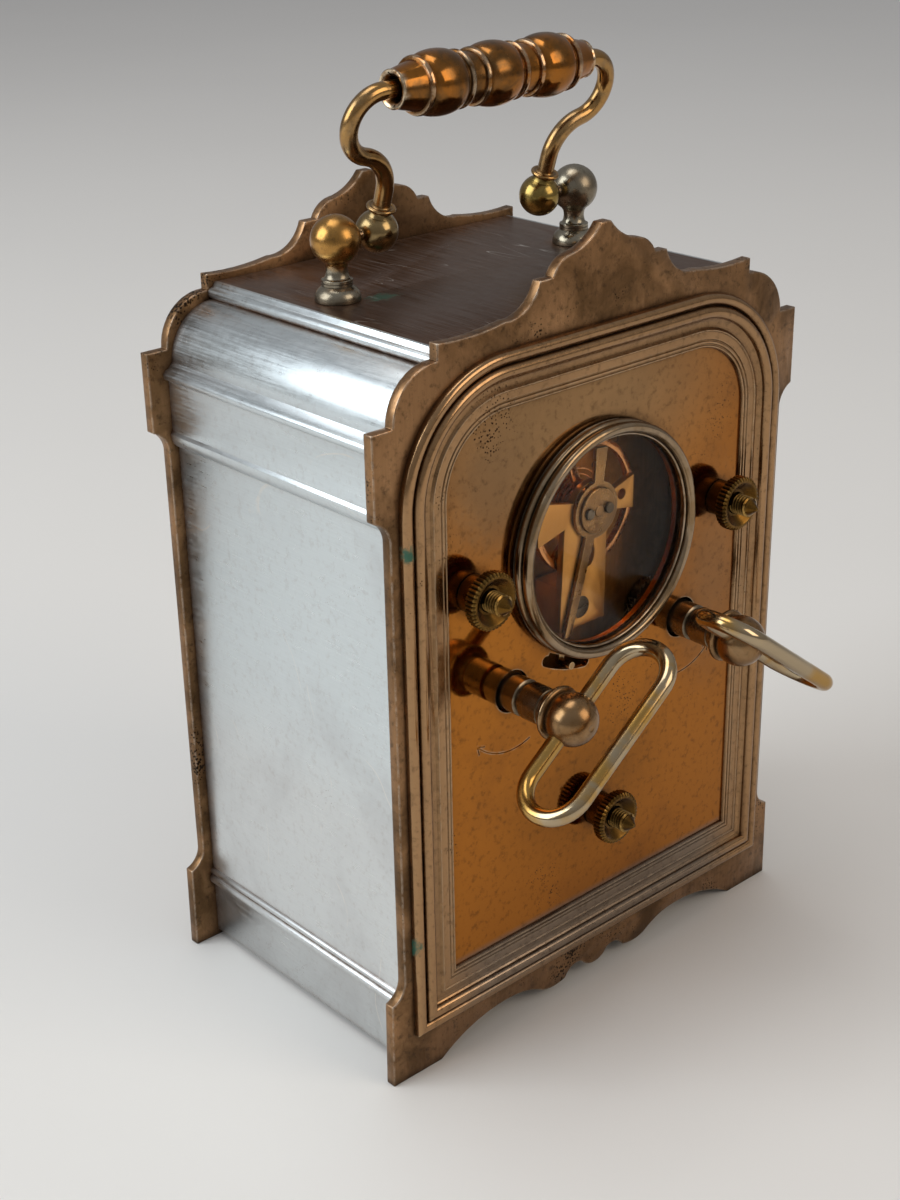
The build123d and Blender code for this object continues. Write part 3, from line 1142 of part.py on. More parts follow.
with BuildPart() as minute_wheel:
    toothed_wheel(minute_arbor, MINUTE_TEETH, CANNON_MODULE, cannon_near + 0.4, cannon_near + 1.1,
                  direction_of(minute_arbor, centre))
    toothed_wheel(minute_arbor, MINUTE_PINION, hour_module, cannon_near + 1.1, hour_near + 1.0,
                  direction_of(minute_arbor, centre) + 180 / MINUTE_PINION)
    rod(minute_arbor, 0.6 + RUNNING, cannon_near - 1, hour_near + 3, mode=Mode.SUBTRACT)
save(minute_wheel, "minute_wheel")

with BuildPart() as hour_wheel:
    rod(centre, hour_outer, hour_near, hour_hand_near + HAND_THICKNESS)
    toothed_wheel(centre, HOUR_TEETH, hour_module, hour_near, hour_near + 0.8,
                  direction_of(centre, minute_arbor))
    rod(centre, hour_bore, hour_near - 1, hour_hand_near + 2, mode=Mode.SUBTRACT)
save(hour_wheel, "hour_wheel")


def hand(length, near, bore, direction, width):
    """Spade hand: tapered arm, spade head and round boss."""
    tip = polar(centre, length, direction)
    shoulder = polar(centre, length * 0.72, direction)
    neck_point = polar(centre, length * 0.58, direction)
    bar(centre, neck_point, width * 0.9, width * 0.6, near, near + HAND_THICKNESS)
    bar(neck_point, shoulder, width * 0.6, width * 2.0, near, near + HAND_THICKNESS)
    bar(shoulder, tip, width * 2.0, 0.3, near, near + HAND_THICKNESS)
    rod(centre, bore + 0.9, near, near + HAND_THICKNESS)
    rod(centre, bore, near - 1, near + 1, mode=Mode.SUBTRACT)


# Hands, set at ten past ten, with the alarm hand at six
with BuildPart() as hour_hand:
    hand(HOUR_HAND_LENGTH, hour_hand_near, hour_outer + SEATED, 90 + 55, 1.5)
save(hour_hand, "hour_hand")

with BuildPart() as minute_hand:
    hand(MINUTE_HAND_LENGTH, minute_hand_near, cannon_outer + SEATED, 90 - 60, 1.3)
save(minute_hand, "minute_hand")

with BuildPart() as alarm_hand:
    hand(ALARM_HAND_LENGTH, alarm_hand_near, alarm_bore, -90, 1.0)
    rod(centre, alarm_outer, alarm_disc_near, alarm_hand_near + HAND_THICKNESS)
    rod(centre, 6.0, alarm_disc_near, alarm_disc_near + 0.8)
    rod(centre, alarm_bore, alarm_disc_near - 1, alarm_hand_near + 2, mode=Mode.SUBTRACT)
save(alarm_hand, "alarm_hand")

# Front door: glazed bezel on a side hinge
front = CASE_DEPTH
door_back = front + 0.15
door_front = front + DOOR_HEIGHT
hinge_depth = front + HINGE_HEIGHT
knuckle = HINGE_LENGTH / 3
hinge_y = depth_y(hinge_depth)
with BuildPart() as door_bezel:
    turned(centre, [(DOOR_OPENING, door_back), (DOOR_RADIUS, door_back), (DOOR_RADIUS, front + 1.6),
                    (DOOR_RADIUS - 0.5, front + 2.7), (DOOR_RADIUS - 1.1, door_front),
                    (DOOR_RADIUS - 1.8, front + 2.7), (DOOR_OPENING, front + 2.1)])
    rod(centre, DOOR_OPENING + 0.8, front + 0.1, front + 1.2, mode=Mode.SUBTRACT)
    with Locations((HINGE_X, hinge_y, CENTRE_Z)):
        Cylinder(HINGE_RADIUS, knuckle - 0.2)
    with Locations((DOOR_RADIUS - 0.2, hinge_y, CENTRE_Z)):
        Box(HINGE_X - DOOR_RADIUS + 1.0, 1.2, knuckle - 0.2)
    with Locations((HINGE_X, hinge_y, CENTRE_Z)):
        Cylinder(HINGE_PIN_RADIUS + RUNNING, HINGE_LENGTH, mode=Mode.SUBTRACT)
    with Locations((-DOOR_RADIUS - 0.5, depth_y(front + 1.4), CENTRE_Z)):
        Box(2.2, 1.0, 4.0)
save(door_bezel, "door_bezel")

with BuildPart() as door_glass:
    rod(centre, DOOR_OPENING + 0.8 - RUNNING, front + 0.2, front + 1.2 - SEATED)
save(door_glass, "door_glass")

with BuildPart() as hinge_leaf:
    for sign in (1, -1):
        middle_z = CENTRE_Z + sign * knuckle
        with Locations((HINGE_X, hinge_y, middle_z)):
            Cylinder(HINGE_RADIUS, knuckle)
        with Locations((HINGE_X, depth_y((front + STEP_HEIGHT + hinge_depth) / 2), middle_z)):
            Box(1.6, hinge_depth - front - STEP_HEIGHT, knuckle)
        with Locations((HINGE_X, hinge_y, middle_z)):
            Cylinder(HINGE_PIN_RADIUS + SEATED, knuckle + 1, mode=Mode.SUBTRACT)
save(hinge_leaf, "door_hinge_ears")

with BuildPart() as hinge_pin:
    with Locations((HINGE_X, hinge_y, CENTRE_Z)):
        Cylinder(HINGE_PIN_RADIUS, HINGE_LENGTH)
save(hinge_pin, "door_hinge_pin")
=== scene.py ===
"""Looks of the travel alarm clock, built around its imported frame.

Sizes are in millimetres in the clock's frame until a piece is finished, when it
becomes metres. X runs across, Y from the dial to the back, Z up. A depth counts
from the back plate's outer face towards the dial, so what stands out of the
back has a negative depth, or a positive height. A finish counts its reaches in
metres and its scales per metre, apart from the places of its regions.
"""

import logging
import math
from dataclasses import dataclass
from enum import Enum
from typing import Sequence

import bmesh
import bpy
from mathutils import Matrix, Vector


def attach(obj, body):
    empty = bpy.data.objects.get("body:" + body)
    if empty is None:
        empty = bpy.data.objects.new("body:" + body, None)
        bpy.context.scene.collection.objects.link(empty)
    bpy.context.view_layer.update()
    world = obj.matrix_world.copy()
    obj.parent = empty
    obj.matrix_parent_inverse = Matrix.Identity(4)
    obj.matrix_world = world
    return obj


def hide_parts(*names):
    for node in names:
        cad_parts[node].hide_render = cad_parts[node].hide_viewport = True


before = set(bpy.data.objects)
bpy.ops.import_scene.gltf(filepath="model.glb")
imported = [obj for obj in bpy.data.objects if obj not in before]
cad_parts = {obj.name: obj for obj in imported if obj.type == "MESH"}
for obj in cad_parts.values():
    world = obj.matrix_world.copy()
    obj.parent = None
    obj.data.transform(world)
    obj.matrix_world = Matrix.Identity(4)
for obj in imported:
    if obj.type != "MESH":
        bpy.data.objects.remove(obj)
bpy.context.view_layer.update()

LOG = logging.getLogger("travel_clock")
MM = 0.001
WELD = 0.0005
COPY_WELD = 0.0008
FLAT_ANGLE = 0.4
BACK_FACE = 15.55
CASE_DEPTH = 49.4
MID_Y = -9.15
CENTRE_Z = 57.0
BODY_TOP = 104.3
PILLAR_CIRCLE = 28.2
PILLAR_ANGLES = (30, 150, 270)
STUD_RADIUS = 1.5
KEY_X = 17.2
KEY_Z = 54.1
WINDOW_Z = 71.7
WINDOW_OPENING = 15.0
UP = Vector((0, 0, 1))
Point = tuple[float, float]
Triple = tuple[float, float, float]
Node = bpy.types.Node
Socket = bpy.types.NodeSocket
Tree = bpy.types.NodeTree
Material = bpy.types.Material
Mesh = bmesh.types.BMesh


class Slot(Enum):
    """Material slots of the record."""

    SILVER_SHEET = "silver_sheet"
    AGED_PLATE = "aged_plate"
    AGED_PANEL = "aged_panel"
    NICKEL = "nickel"
    KEY_BRASS = "key_brass"
    HANDLE_BRASS = "handle_brass"
    NUT_BRASS = "nut_brass"
    MOVEMENT_BRASS = "movement_brass"
    BALANCE_COPPER = "balance_copper"
    STEEL = "steel"
    BELL_METAL = "bell_metal"
    ENAMEL = "enamel"
    SURROUND = "surround"
    BLUED_STEEL = "blued_steel"
    CLEAR_GLASS = "clear_glass"


class Face(Enum):
    """The clock's two faces, with the way each one looks along Y."""

    REAR = 1
    DIAL = -1


# Shader node groups


class Sheet:
    """Short hand for laying out a node tree."""

    def __init__(self, tree: Tree) -> None:
        """Takes the tree that the nodes go into."""
        self.tree = tree

    def feed(self, node: Node, inputs: dict) -> None:
        """Sets a node's sockets, or links those whose value is a socket."""
        for key, value in inputs.items():
            if isinstance(value, Socket):
                self.tree.links.new(value, node.inputs[key])
            else:
                node.inputs[key].default_value = value

    def node(self, kind: str, inputs: dict | None = None, **settings: object) -> Node:
        """Adds a node.

        Args:
            kind: Blender's name of the node type.
            inputs: sockets by name or number, each with a value or a socket to link from.
            settings: properties of the node.

        Returns:
            The new node.
        """
        node = self.tree.nodes.new(kind)
        for key, value in settings.items():
            setattr(node, key, value)
        self.feed(node, inputs or {})
        return node

    def maths(self, operation: str, *values: object) -> Socket:
        """Does one sum with numbers or sockets and gives its socket."""
        return self.node("ShaderNodeMath", dict(enumerate(values)), operation=operation).outputs[0]

    def vector_maths(self, operation: str, *values: object) -> Socket:
        """Does one sum with vectors and gives its vector socket."""
        return self.node("ShaderNodeVectorMath", dict(enumerate(values)), operation=operation).outputs[0]

    def plus(self, value: object, mask: Socket, amount: object) -> Socket:
        """Adds an amount to a value where a mask lets it."""
        return self.maths("ADD", value, self.maths("MULTIPLY", mask, amount))

    def highest(self, masks: Sequence[Socket]) -> Socket:
        """Gives the highest of some masks."""
        result = masks[0]
        for mask in masks[1:]:
            result = self.maths("MAXIMUM", result, mask)
        return result

    def ramp(
        self, value: Socket, low: object, high: object, start: object = 0.0, end: object = 1.0
    ) -> Socket:
        """Maps a range smoothly onto another, clamped at both ends.

        Args:
            value: the socket to map.
            low: value that becomes start.
            high: value that becomes end.
            start: result at low.
            end: result at high.

        Returns:
            The socket with the result.
        """
        inputs = {0: value, 1: low, 2: high, 3: start, 4: end}
        return self.node("ShaderNodeMapRange", inputs, interpolation_type="SMOOTHSTEP").outputs[0]

    def mix(self, factor: Socket, first: object, second: object) -> Socket:
        """Mixes two colours.

        Args:
            factor: share of the second colour.
            first: colour or socket.
            second: colour or socket.

        Returns:
            The socket with the mixed colour.
        """
        colours = (value if isinstance(value, Socket) else (*value, 1.0) for value in (first, second))
        inputs = dict(zip((0, 6, 7), (factor, *colours)))
        return self.node("ShaderNodeMix", inputs, data_type="RGBA").outputs[2]

    def noise(self, vector: Socket, scale: object, detail: float = 4.0, rough: float = 0.55) -> Socket:
        """Adds a noise texture and gives its value socket."""
        inputs = {"Vector": vector, "Scale": scale, "Detail": detail, "Roughness": rough}
        return self.node("ShaderNodeTexNoise", inputs).outputs[0]

    def effect(self, group: Tree, **inputs: object) -> Socket:
        """Uses a shared effect and gives its mask."""
        return self.node("ShaderNodeGroup", inputs, node_tree=group).outputs[0]


class Group(Sheet):
    """A node group in the making, whose only output is a mask."""

    def __init__(self, name: str, **inputs: float | None) -> None:
        """Starts the group.

        Args:
            name: name of the group.
            inputs: default of each input, where None is a vector.
        """
        super().__init__(bpy.data.node_groups.new(name, "ShaderNodeTree"))
        for key, value in inputs.items():
            kind = "NodeSocketVector" if value is None else "NodeSocketFloat"
            socket = self.tree.interface.new_socket(key, in_out="INPUT", socket_type=kind)
            if value is not None:
                socket.default_value = value
        self.tree.interface.new_socket("Mask", in_out="OUTPUT", socket_type="NodeSocketFloat")
        self.given = self.node("NodeGroupInput").outputs

    def close(self, mask: Socket) -> Tree:
        """Gives the mask out and returns the finished group."""
        self.node("NodeGroupOutput", {"Mask": mask})
        return self.tree


class Effects:
    """The effects that several finishes share, each a node group built once."""

    def __init__(self) -> None:
        """Builds every group."""
        self.clouds = self._clouds()
        self.pits = self._pits()
        self.brushing = self._brushing()
        self.scratches = self._scratches()
        # Painted shade and dirt: ambient occlusion finds corners and hollows, which the metals then darken.
        self.recess = self._surroundings("recess_shade_and_dirt", 0.95, 0.35, False)
        self.worn_edge = self._surroundings("worn_edge", 0.9, 0.55, True)
        self.box = self._region("box_region", True)
        self.ball = self._region("ball_region", False)

    def _clouds(self) -> Tree:
        """Soft uneven patches of patina."""
        bending, detail, rough = 0.012, 9.0, 0.62
        group = Group("patina_clouds", Vector=None, Scale=60.0, Low=0.4, High=0.6)
        vector, scale, low, high = (group.given[key] for key in ("Vector", "Scale", "Low", "High"))
        warp = group.node("ShaderNodeTexNoise", {"Vector": vector, "Scale": scale}).outputs["Color"]
        bent = group.node("ShaderNodeVectorMath", {0: warp, "Scale": bending}, operation="SCALE").outputs[0]
        fine = group.noise(group.vector_maths("ADD", vector, bent), scale, detail, rough)
        return group.close(group.ramp(fine, low, high))

    def _pits(self) -> Tree:
        """Small dark corrosion pits in loose clusters."""
        least, widest, border, raggedness = 0.125, 0.40, 0.08, 0.25
        cluster_scale, ragged_scale = 75.0, 2600.0
        group = Group("corrosion_pits", Vector=None, Scale=900.0, Amount=0.5)
        vector, scale, amount = (group.given[key] for key in ("Vector", "Scale", "Amount"))
        cells = group.node("ShaderNodeTexVoronoi", {"Vector": vector, "Scale": scale, "Randomness": 1.0})
        cluster = group.ramp(group.noise(vector, cluster_scale, 5.0, 0.6), 0.47, 0.72, 0.0, widest)
        size = group.maths("ADD", group.maths("MULTIPLY", cluster, amount), least)
        ragged = group.plus(cells.outputs["Distance"], group.noise(vector, ragged_scale), raggedness)
        return group.close(group.ramp(group.maths("SUBTRACT", size, ragged), 0.0, border))

    def _brushing(self) -> Tree:
        """Fine parallel marks of polishing, along the axis with the smallest stretch."""
        group = Group("brushing", Vector=None, Across=2600.0, Along=60.0)
        across = group.given["Across"]
        stretch = group.node("ShaderNodeCombineXYZ", {"X": across, "Y": across, "Z": group.given["Along"]})
        stretched = group.vector_maths("MULTIPLY", group.given["Vector"], stretch.outputs[0])
        return group.close(group.noise(stretched, 1.0, 3.0, 0.5))

    def _scratches(self) -> Tree:
        """Sparse thin scratches in two directions."""
        group = Group("scratches", Vector=None, Width=0.004)
        vector = group.given["Vector"]
        scale, middle = 30.0, 0.5
        masks = []
        for turn, stretch in ((0.55, 7.0), (-0.9, 5.0)):
            mapping = {"Vector": vector, "Rotation": (turn, turn * 0.7, turn), "Scale": (stretch, 1.0, 1.0)}
            field = group.noise(group.node("ShaderNodeMapping", mapping).outputs[0], scale, 1.5, 0.4)
            ridge = group.maths("ABSOLUTE", group.maths("SUBTRACT", field, middle))
            line = group.maths("LESS_THAN", ridge, group.given["Width"])
            patch = group.ramp(group.noise(vector, 45.0 + 10.0 * stretch), 0.52, 0.6)
            masks.append(group.maths("MULTIPLY", line, patch))
        return group.close(group.highest(masks))

    def _surroundings(self, name: str, high: float, low: float, inside: bool) -> Tree:
        """How much of its surroundings a point sees within a distance.

        Args:
            name: name of the group.
            high: openness at which the mask starts.
            low: openness at which the mask is full.
            inside: looks into the metal and so finds edges, where it finds corners otherwise.

        Returns:
            The group.
        """
        group = Group(name, Distance=0.001)
        inputs = {"Distance": group.given["Distance"]}
        openness = group.node("ShaderNodeAmbientOcclusion", inputs, samples=6, inside=inside).outputs["AO"]
        return group.close(group.node("ShaderNodeMapRange", {0: openness, 1: high, 2: low}).outputs[0])

    def _region(self, name: str, boxed: bool) -> Tree:
        """A soft-bordered box or ball around a place, with a border that noise can fray."""
        group = Group(name, Vector=None, Centre=None, Reach=None, Blend=0.1, Fray=0.0)
        vector = group.given["Vector"]
        away = group.vector_maths("SUBTRACT", vector, group.given["Centre"])
        share = group.vector_maths("DIVIDE", away, group.given["Reach"])
        if boxed:
            sizes = group.vector_maths("ABSOLUTE", share)
            distance = group.highest(group.node("ShaderNodeSeparateXYZ", {0: sizes}).outputs[:])
        else:
            distance = group.node("ShaderNodeVectorMath", {0: share}, operation="LENGTH").outputs["Value"]
        grain_scale, middle = 900.0, 0.5
        grain = group.maths("SUBTRACT", group.noise(vector, grain_scale, 5.0, 0.7), middle)
        distance = group.plus(distance, grain, group.given["Fray"])
        inner = group.maths("SUBTRACT", 1.0, group.given["Blend"])
        return group.close(group.ramp(distance, inner, 1.0, 1.0, 0.0))


# Finishes


def new_finish(name: str) -> tuple[Material, Sheet, Node, Socket]:
    """Starts the material of a finish.

    Args:
        name: name of the material.

    Returns:
        The material, its sheet, its shader, and the socket with the place on the object.
    """
    material = bpy.data.materials.new(name)
    material.use_nodes = True
    sheet = Sheet(material.node_tree)
    shader = material.node_tree.nodes["Principled BSDF"]
    return material, sheet, shader, sheet.node("ShaderNodeTexCoord").outputs["Object"]


@dataclass(frozen=True)
class Region:
    """A part of the clock, in millimetres, where a finish takes another tone."""

    centre: Triple
    reach: Triple
    colour: Triple
    share: float = 1.0
    boxed: bool = False
    outside: bool = False
    blend: float = 0.4
    fray: float = 0.0
    rougher: float = 0.0
    pits: float = 0.0
    green: bool = False

    def mask(self, sheet: Sheet, effects: Effects, vector: Socket) -> Socket:
        """Lays out the nodes of the region.

        Args:
            sheet: sheet of the material.
            effects: the shared node groups.
            vector: the place on the object, in metres.

        Returns:
            The socket with the region's mask.
        """
        centre, reach = ([size * MM for size in sizes] for sizes in (self.centre, self.reach))
        group = effects.box if self.boxed else effects.ball
        border = {"Blend": self.blend, "Fray": self.fray}
        mask = sheet.effect(group, Vector=vector, Centre=centre, Reach=reach, **border)
        if self.outside:
            mask = sheet.maths("SUBTRACT", 1.0, mask)
        return sheet.maths("MULTIPLY", mask, self.share)


@dataclass
class Skin:
    """The surface of a metal in the making."""

    sheet: Sheet
    vector: Socket
    fine: Socket
    colour: Socket
    rough: Socket
    height: Socket

    def cover(self, mask: Socket, colour: object, rougher: float = 0.0) -> None:
        """Lays a colour over the skin where a mask lets it, rougher by an amount."""
        self.colour = self.sheet.mix(mask, self.colour, colour)
        if rougher:
            self.rough = self.sheet.plus(self.rough, mask, rougher)


@dataclass(frozen=True)
class Metal:
    """A metal with its age: patches, pits, polishing marks, scratches, and dirt with painted shade in
    corners.
    """

    name: str
    colour: Triple
    patina: Triple
    stain_and_shade: Triple
    roughness: float
    bright: Triple = (0.80, 0.76, 0.70)
    cloud_scale: float = 60.0
    cloud_low: float = 0.42
    cloud_high: float = 0.62
    pit_scale: float = 900.0
    pit_amount: float = 0.0
    brush_across: float = 0.0
    brush_along: float = 60.0
    brush_turn: Triple = (0.0, 0.0, 0.0)
    scratch_width: float = 0.0
    shade_and_dirt_reach: float = 0.0
    edge_reach: float = 0.0
    verdigris: float = 0.0
    unevenness: float = 0.10
    relief: float = 0.25
    tarnish: float = 0.0
    regions: tuple[Region, ...] = ()

    def build(self, effects: Effects) -> Material:
        """Makes the material.

        Args:
            effects: the shared node groups.

        Returns:
            The new material.
        """
        material, sheet, shader, vector = new_finish(self.name)
        levels = {"Scale": self.cloud_scale, "Low": self.cloud_low, "High": self.cloud_high}
        cloud = sheet.effect(effects.clouds, Vector=vector, **levels)
        fine = sheet.noise(vector, FINE_SCALE, 6.0, 0.7)
        half = self.unevenness / 2
        rough = sheet.ramp(fine, *MIDDLE, self.roughness - half, self.roughness + half)
        skin = Skin(
            sheet, vector, fine, sheet.mix(cloud, self.colour, self.patina),
            sheet.plus(rough, cloud, self.unevenness), sheet.maths("MULTIPLY", fine, FINE_HEIGHT),
        )
        pits, greens = self._lay_regions(skin, effects, cloud)
        self._work(skin, effects)
        self._shade_and_soil(skin, effects, pits)
        metallic: object = 1.0
        if self.verdigris:
            low = GREEN_START - GREEN_BORDER * self.verdigris
            patches = sheet.noise(vector, GREEN_SCALE, 6.0, 0.6)
            greens.append(sheet.ramp(patches, low, low + GREEN_BORDER))
        if greens:
            green = sheet.highest(greens)
            skin.cover(green, VERDIGRIS, GREEN_ROUGHER)
            metallic = sheet.maths("SUBTRACT", 1.0, sheet.maths("MULTIPLY", green, GREEN_COVER))
        relief = {"Strength": self.relief, "Distance": RELIEF_DEPTH, "Height": skin.height}
        bump = sheet.node("ShaderNodeBump", relief).outputs[0]
        rough = sheet.maths("MAXIMUM", skin.rough, SMOOTHEST)
        inputs = {"Base Color": skin.colour, "Roughness": rough, "Metallic": metallic, "Normal": bump}
        sheet.feed(shader, inputs)
        return material

    def _lay_regions(self, skin: Skin, effects: Effects, cloud: Socket) -> tuple[object, list[Socket]]:
        """Lays the regions on the skin and gives the amount of pits and the green masks."""
        pits: object = self.pit_amount
        greens = []
        for region in self.regions:
            mask = region.mask(skin.sheet, effects, skin.vector)
            if region.green:
                greens.append(mask)
                continue
            shade = tuple(MOTTLING * tone for tone in region.colour)
            skin.cover(mask, skin.sheet.mix(cloud, region.colour, shade), region.rougher)
            if region.pits:
                pits = skin.sheet.plus(pits, mask, region.pits)
        return pits, greens

    def _work(self, skin: Skin, effects: Effects) -> None:
        """Adds tarnish, polishing marks, rubbed edges and scratches."""
        sheet = skin.sheet
        if self.tarnish:
            specks = sheet.noise(skin.vector, SPECK_SCALE, 7.0, 0.70)
            skin.cover(sheet.ramp(specks, 0.50, 0.70, 0.0, self.tarnish), self.stain_and_shade)
        if self.brush_across:
            turned = sheet.node("ShaderNodeMapping", {"Vector": skin.vector, "Rotation": self.brush_turn})
            stretch = {"Across": self.brush_across, "Along": self.brush_along}
            marks = sheet.ramp(sheet.effect(effects.brushing, Vector=turned.outputs[0], **stretch), *MIDDLE)
            skin.rough = sheet.plus(skin.rough, marks, MARK_ROUGHER)
            skin.height = sheet.plus(skin.height, marks, MARK_HEIGHT)
            skin.cover(sheet.maths("MULTIPLY", marks, MARK_SHADE), self.patina)
        if self.edge_reach:
            edge = sheet.effect(effects.worn_edge, Distance=self.edge_reach)
            skin.cover(sheet.maths("MULTIPLY", edge, sheet.ramp(skin.fine, 0.35, 0.6)), self.bright)
        if self.scratch_width:
            scratch = sheet.effect(effects.scratches, Vector=skin.vector, Width=self.scratch_width)
            skin.cover(sheet.maths("MULTIPLY", scratch, SCRATCH_SHADE), self.bright)
            skin.height = sheet.maths("SUBTRACT", skin.height, scratch)

    def _shade_and_soil(self, skin: Skin, effects: Effects, pits: object) -> None:
        """Adds painted shade and dirt in corners, and as many pits as are given."""
        sheet = skin.sheet
        spots = []
        # Painted shade and dirt: the stain colour darkens the corners that ambient occlusion finds.
        if self.shade_and_dirt_reach:
            shade_and_dirt = sheet.effect(effects.recess, Distance=self.shade_and_dirt_reach)
            spots.append(sheet.maths("MULTIPLY", shade_and_dirt, sheet.ramp(skin.fine, 0.25, 0.6, 0.45, 1.0)))
        if self.pit_amount:
            pit = sheet.effect(effects.pits, Vector=skin.vector, Scale=self.pit_scale, Amount=pits)
            skin.height = sheet.maths("SUBTRACT", skin.height, pit)
            spots.append(pit)
        if spots:
            skin.cover(sheet.highest(spots), self.stain_and_shade, SPOT_ROUGHER)


@dataclass(frozen=True)
class Paint:
    """A smooth fired or printed surface with faint mottling."""

    name: str
    colour: Triple
    shade: Triple
    roughness: float
    coat: float = 0.0

    def build(self, effects: Effects) -> Material:
        """Makes the material, with the shared patina clouds as mottling."""
        material, sheet, shader, vector = new_finish(self.name)
        colour = sheet.mix(sheet.effect(effects.clouds, Vector=vector, Scale=140.0), self.colour, self.shade)
        speckle = sheet.noise(vector, 900.0)
        rough = sheet.ramp(speckle, *MIDDLE, self.roughness, self.roughness + 0.08)
        relief = {"Strength": 0.1, "Distance": 0.00002, "Height": speckle}
        bump = sheet.node("ShaderNodeBump", relief).outputs[0]
        inputs = {"Base Color": colour, "Roughness": rough, "Normal": bump, "Coat Weight": self.coat}
        sheet.feed(shader, inputs)
        return material


@dataclass(frozen=True)
class Glass:
    """Old clear glass with a little dust in its film."""

    name: str
    tint: Triple = (0.95, 0.88, 0.78)

    def build(self, effects: Effects) -> Material:
        """Makes the material."""
        material, sheet, shader, vector = new_finish(self.name)
        smear = sheet.maths("MULTIPLY", sheet.effect(effects.clouds, Vector=vector), 0.015)
        inputs = {"Base Color": (*self.tint, 1.0), "Roughness": smear, "Transmission Weight": 1.0}
        sheet.feed(shader, {**inputs, "IOR": 1.16, "Specular IOR Level": 0.3})
        return material


MIDDLE = (0.3, 0.7)
FINE_SCALE = 700.0
FINE_HEIGHT = 0.15
SPECK_SCALE = 950.0
MOTTLING = 0.78
SMOOTHEST = 0.05
VERDIGRIS = (0.035, 0.12, 0.075)
GREEN_SCALE = 95.0
GREEN_START = 0.74
GREEN_BORDER = 0.06
GREEN_ROUGHER = 0.4
GREEN_COVER = 0.8
MARK_ROUGHER = 0.12
MARK_HEIGHT = 0.35
MARK_SHADE = 0.16
SCRATCH_SHADE = 0.5
SPOT_ROUGHER = 0.3
RELIEF_DEPTH = 0.00003
MOULDING = Region(
    (0, MID_Y, 57), (90, 24.8, 90), (0.40, 0.235, 0.115), boxed=True, outside=True, blend=0.004,
    rougher=0.10,
)
LOW_MOULDING = Region((0, 16, 11.5), (33, 4, 4.5), (0.23, 0.195, 0.16), share=0.75, boxed=True, blend=0.35)
# Painted reflection: the upper part of the back panel turns greyer, standing for a darker room mirrored in
# it.
UPPER_PANEL_PAINTED_REFLECTION = Region((6, 15.5, 92), (44, 6, 26), (0.33, 0.205, 0.10), share=0.85, blend=0.8)
LOW_SMUDGE = Region((2, 15.5, 34), (22, 6, 15), (0.25, 0.095, 0.017), share=0.8, blend=0.9, fray=0.5)
SIDE_SMUDGE = Region((-24, 15.5, 60), (12, 6, 24), (0.31, 0.16, 0.07), share=0.7, blend=0.9, fray=0.5)
PIT_CLUSTER = Region(
    (20.5, 15.5, 84.5), (9, 4, 11), (0.27, 0.16, 0.08), share=0.5, blend=0.8, fray=1.2, pits=1.6,
)
# Painted shade: the inner faces of the case sheet are dark brown and rougher, standing for the shade inside
# the case.
INSIDE_PAINTED_SHADE = Region((0, MID_Y, 47), (35.8, 60, 47), (0.10, 0.065, 0.04), boxed=True, blend=0.004, rougher=0.25)
# Painted reflection: the lower part of the silver sides turns warmer, standing for the floor mirrored in
# them.
PAINTED_FLOOR_REFLECTION = Region((0, MID_Y, 0), (60, 60, 60), (0.66, 0.605, 0.57), share=0.8, boxed=True, blend=0.9)
DIAL_SIDE = Region((0, -33, 57), (60, 6, 60), (0.36, 0.195, 0.085), share=0.8, boxed=True, blend=0.02)
DIAL_SIDE_CLOUD = Region((-8, -34, 30), (34, 6, 30), (0.30, 0.13, 0.04), share=0.8, blend=0.9, fray=0.6)
TOP_SHEET = Region(
    (0, MID_Y, 105.0), (27.9, 40, 0.8), (0.10, 0.037, 0.008), boxed=True, blend=0.012, rougher=0.06,
)
Finish = Metal | Paint | Glass
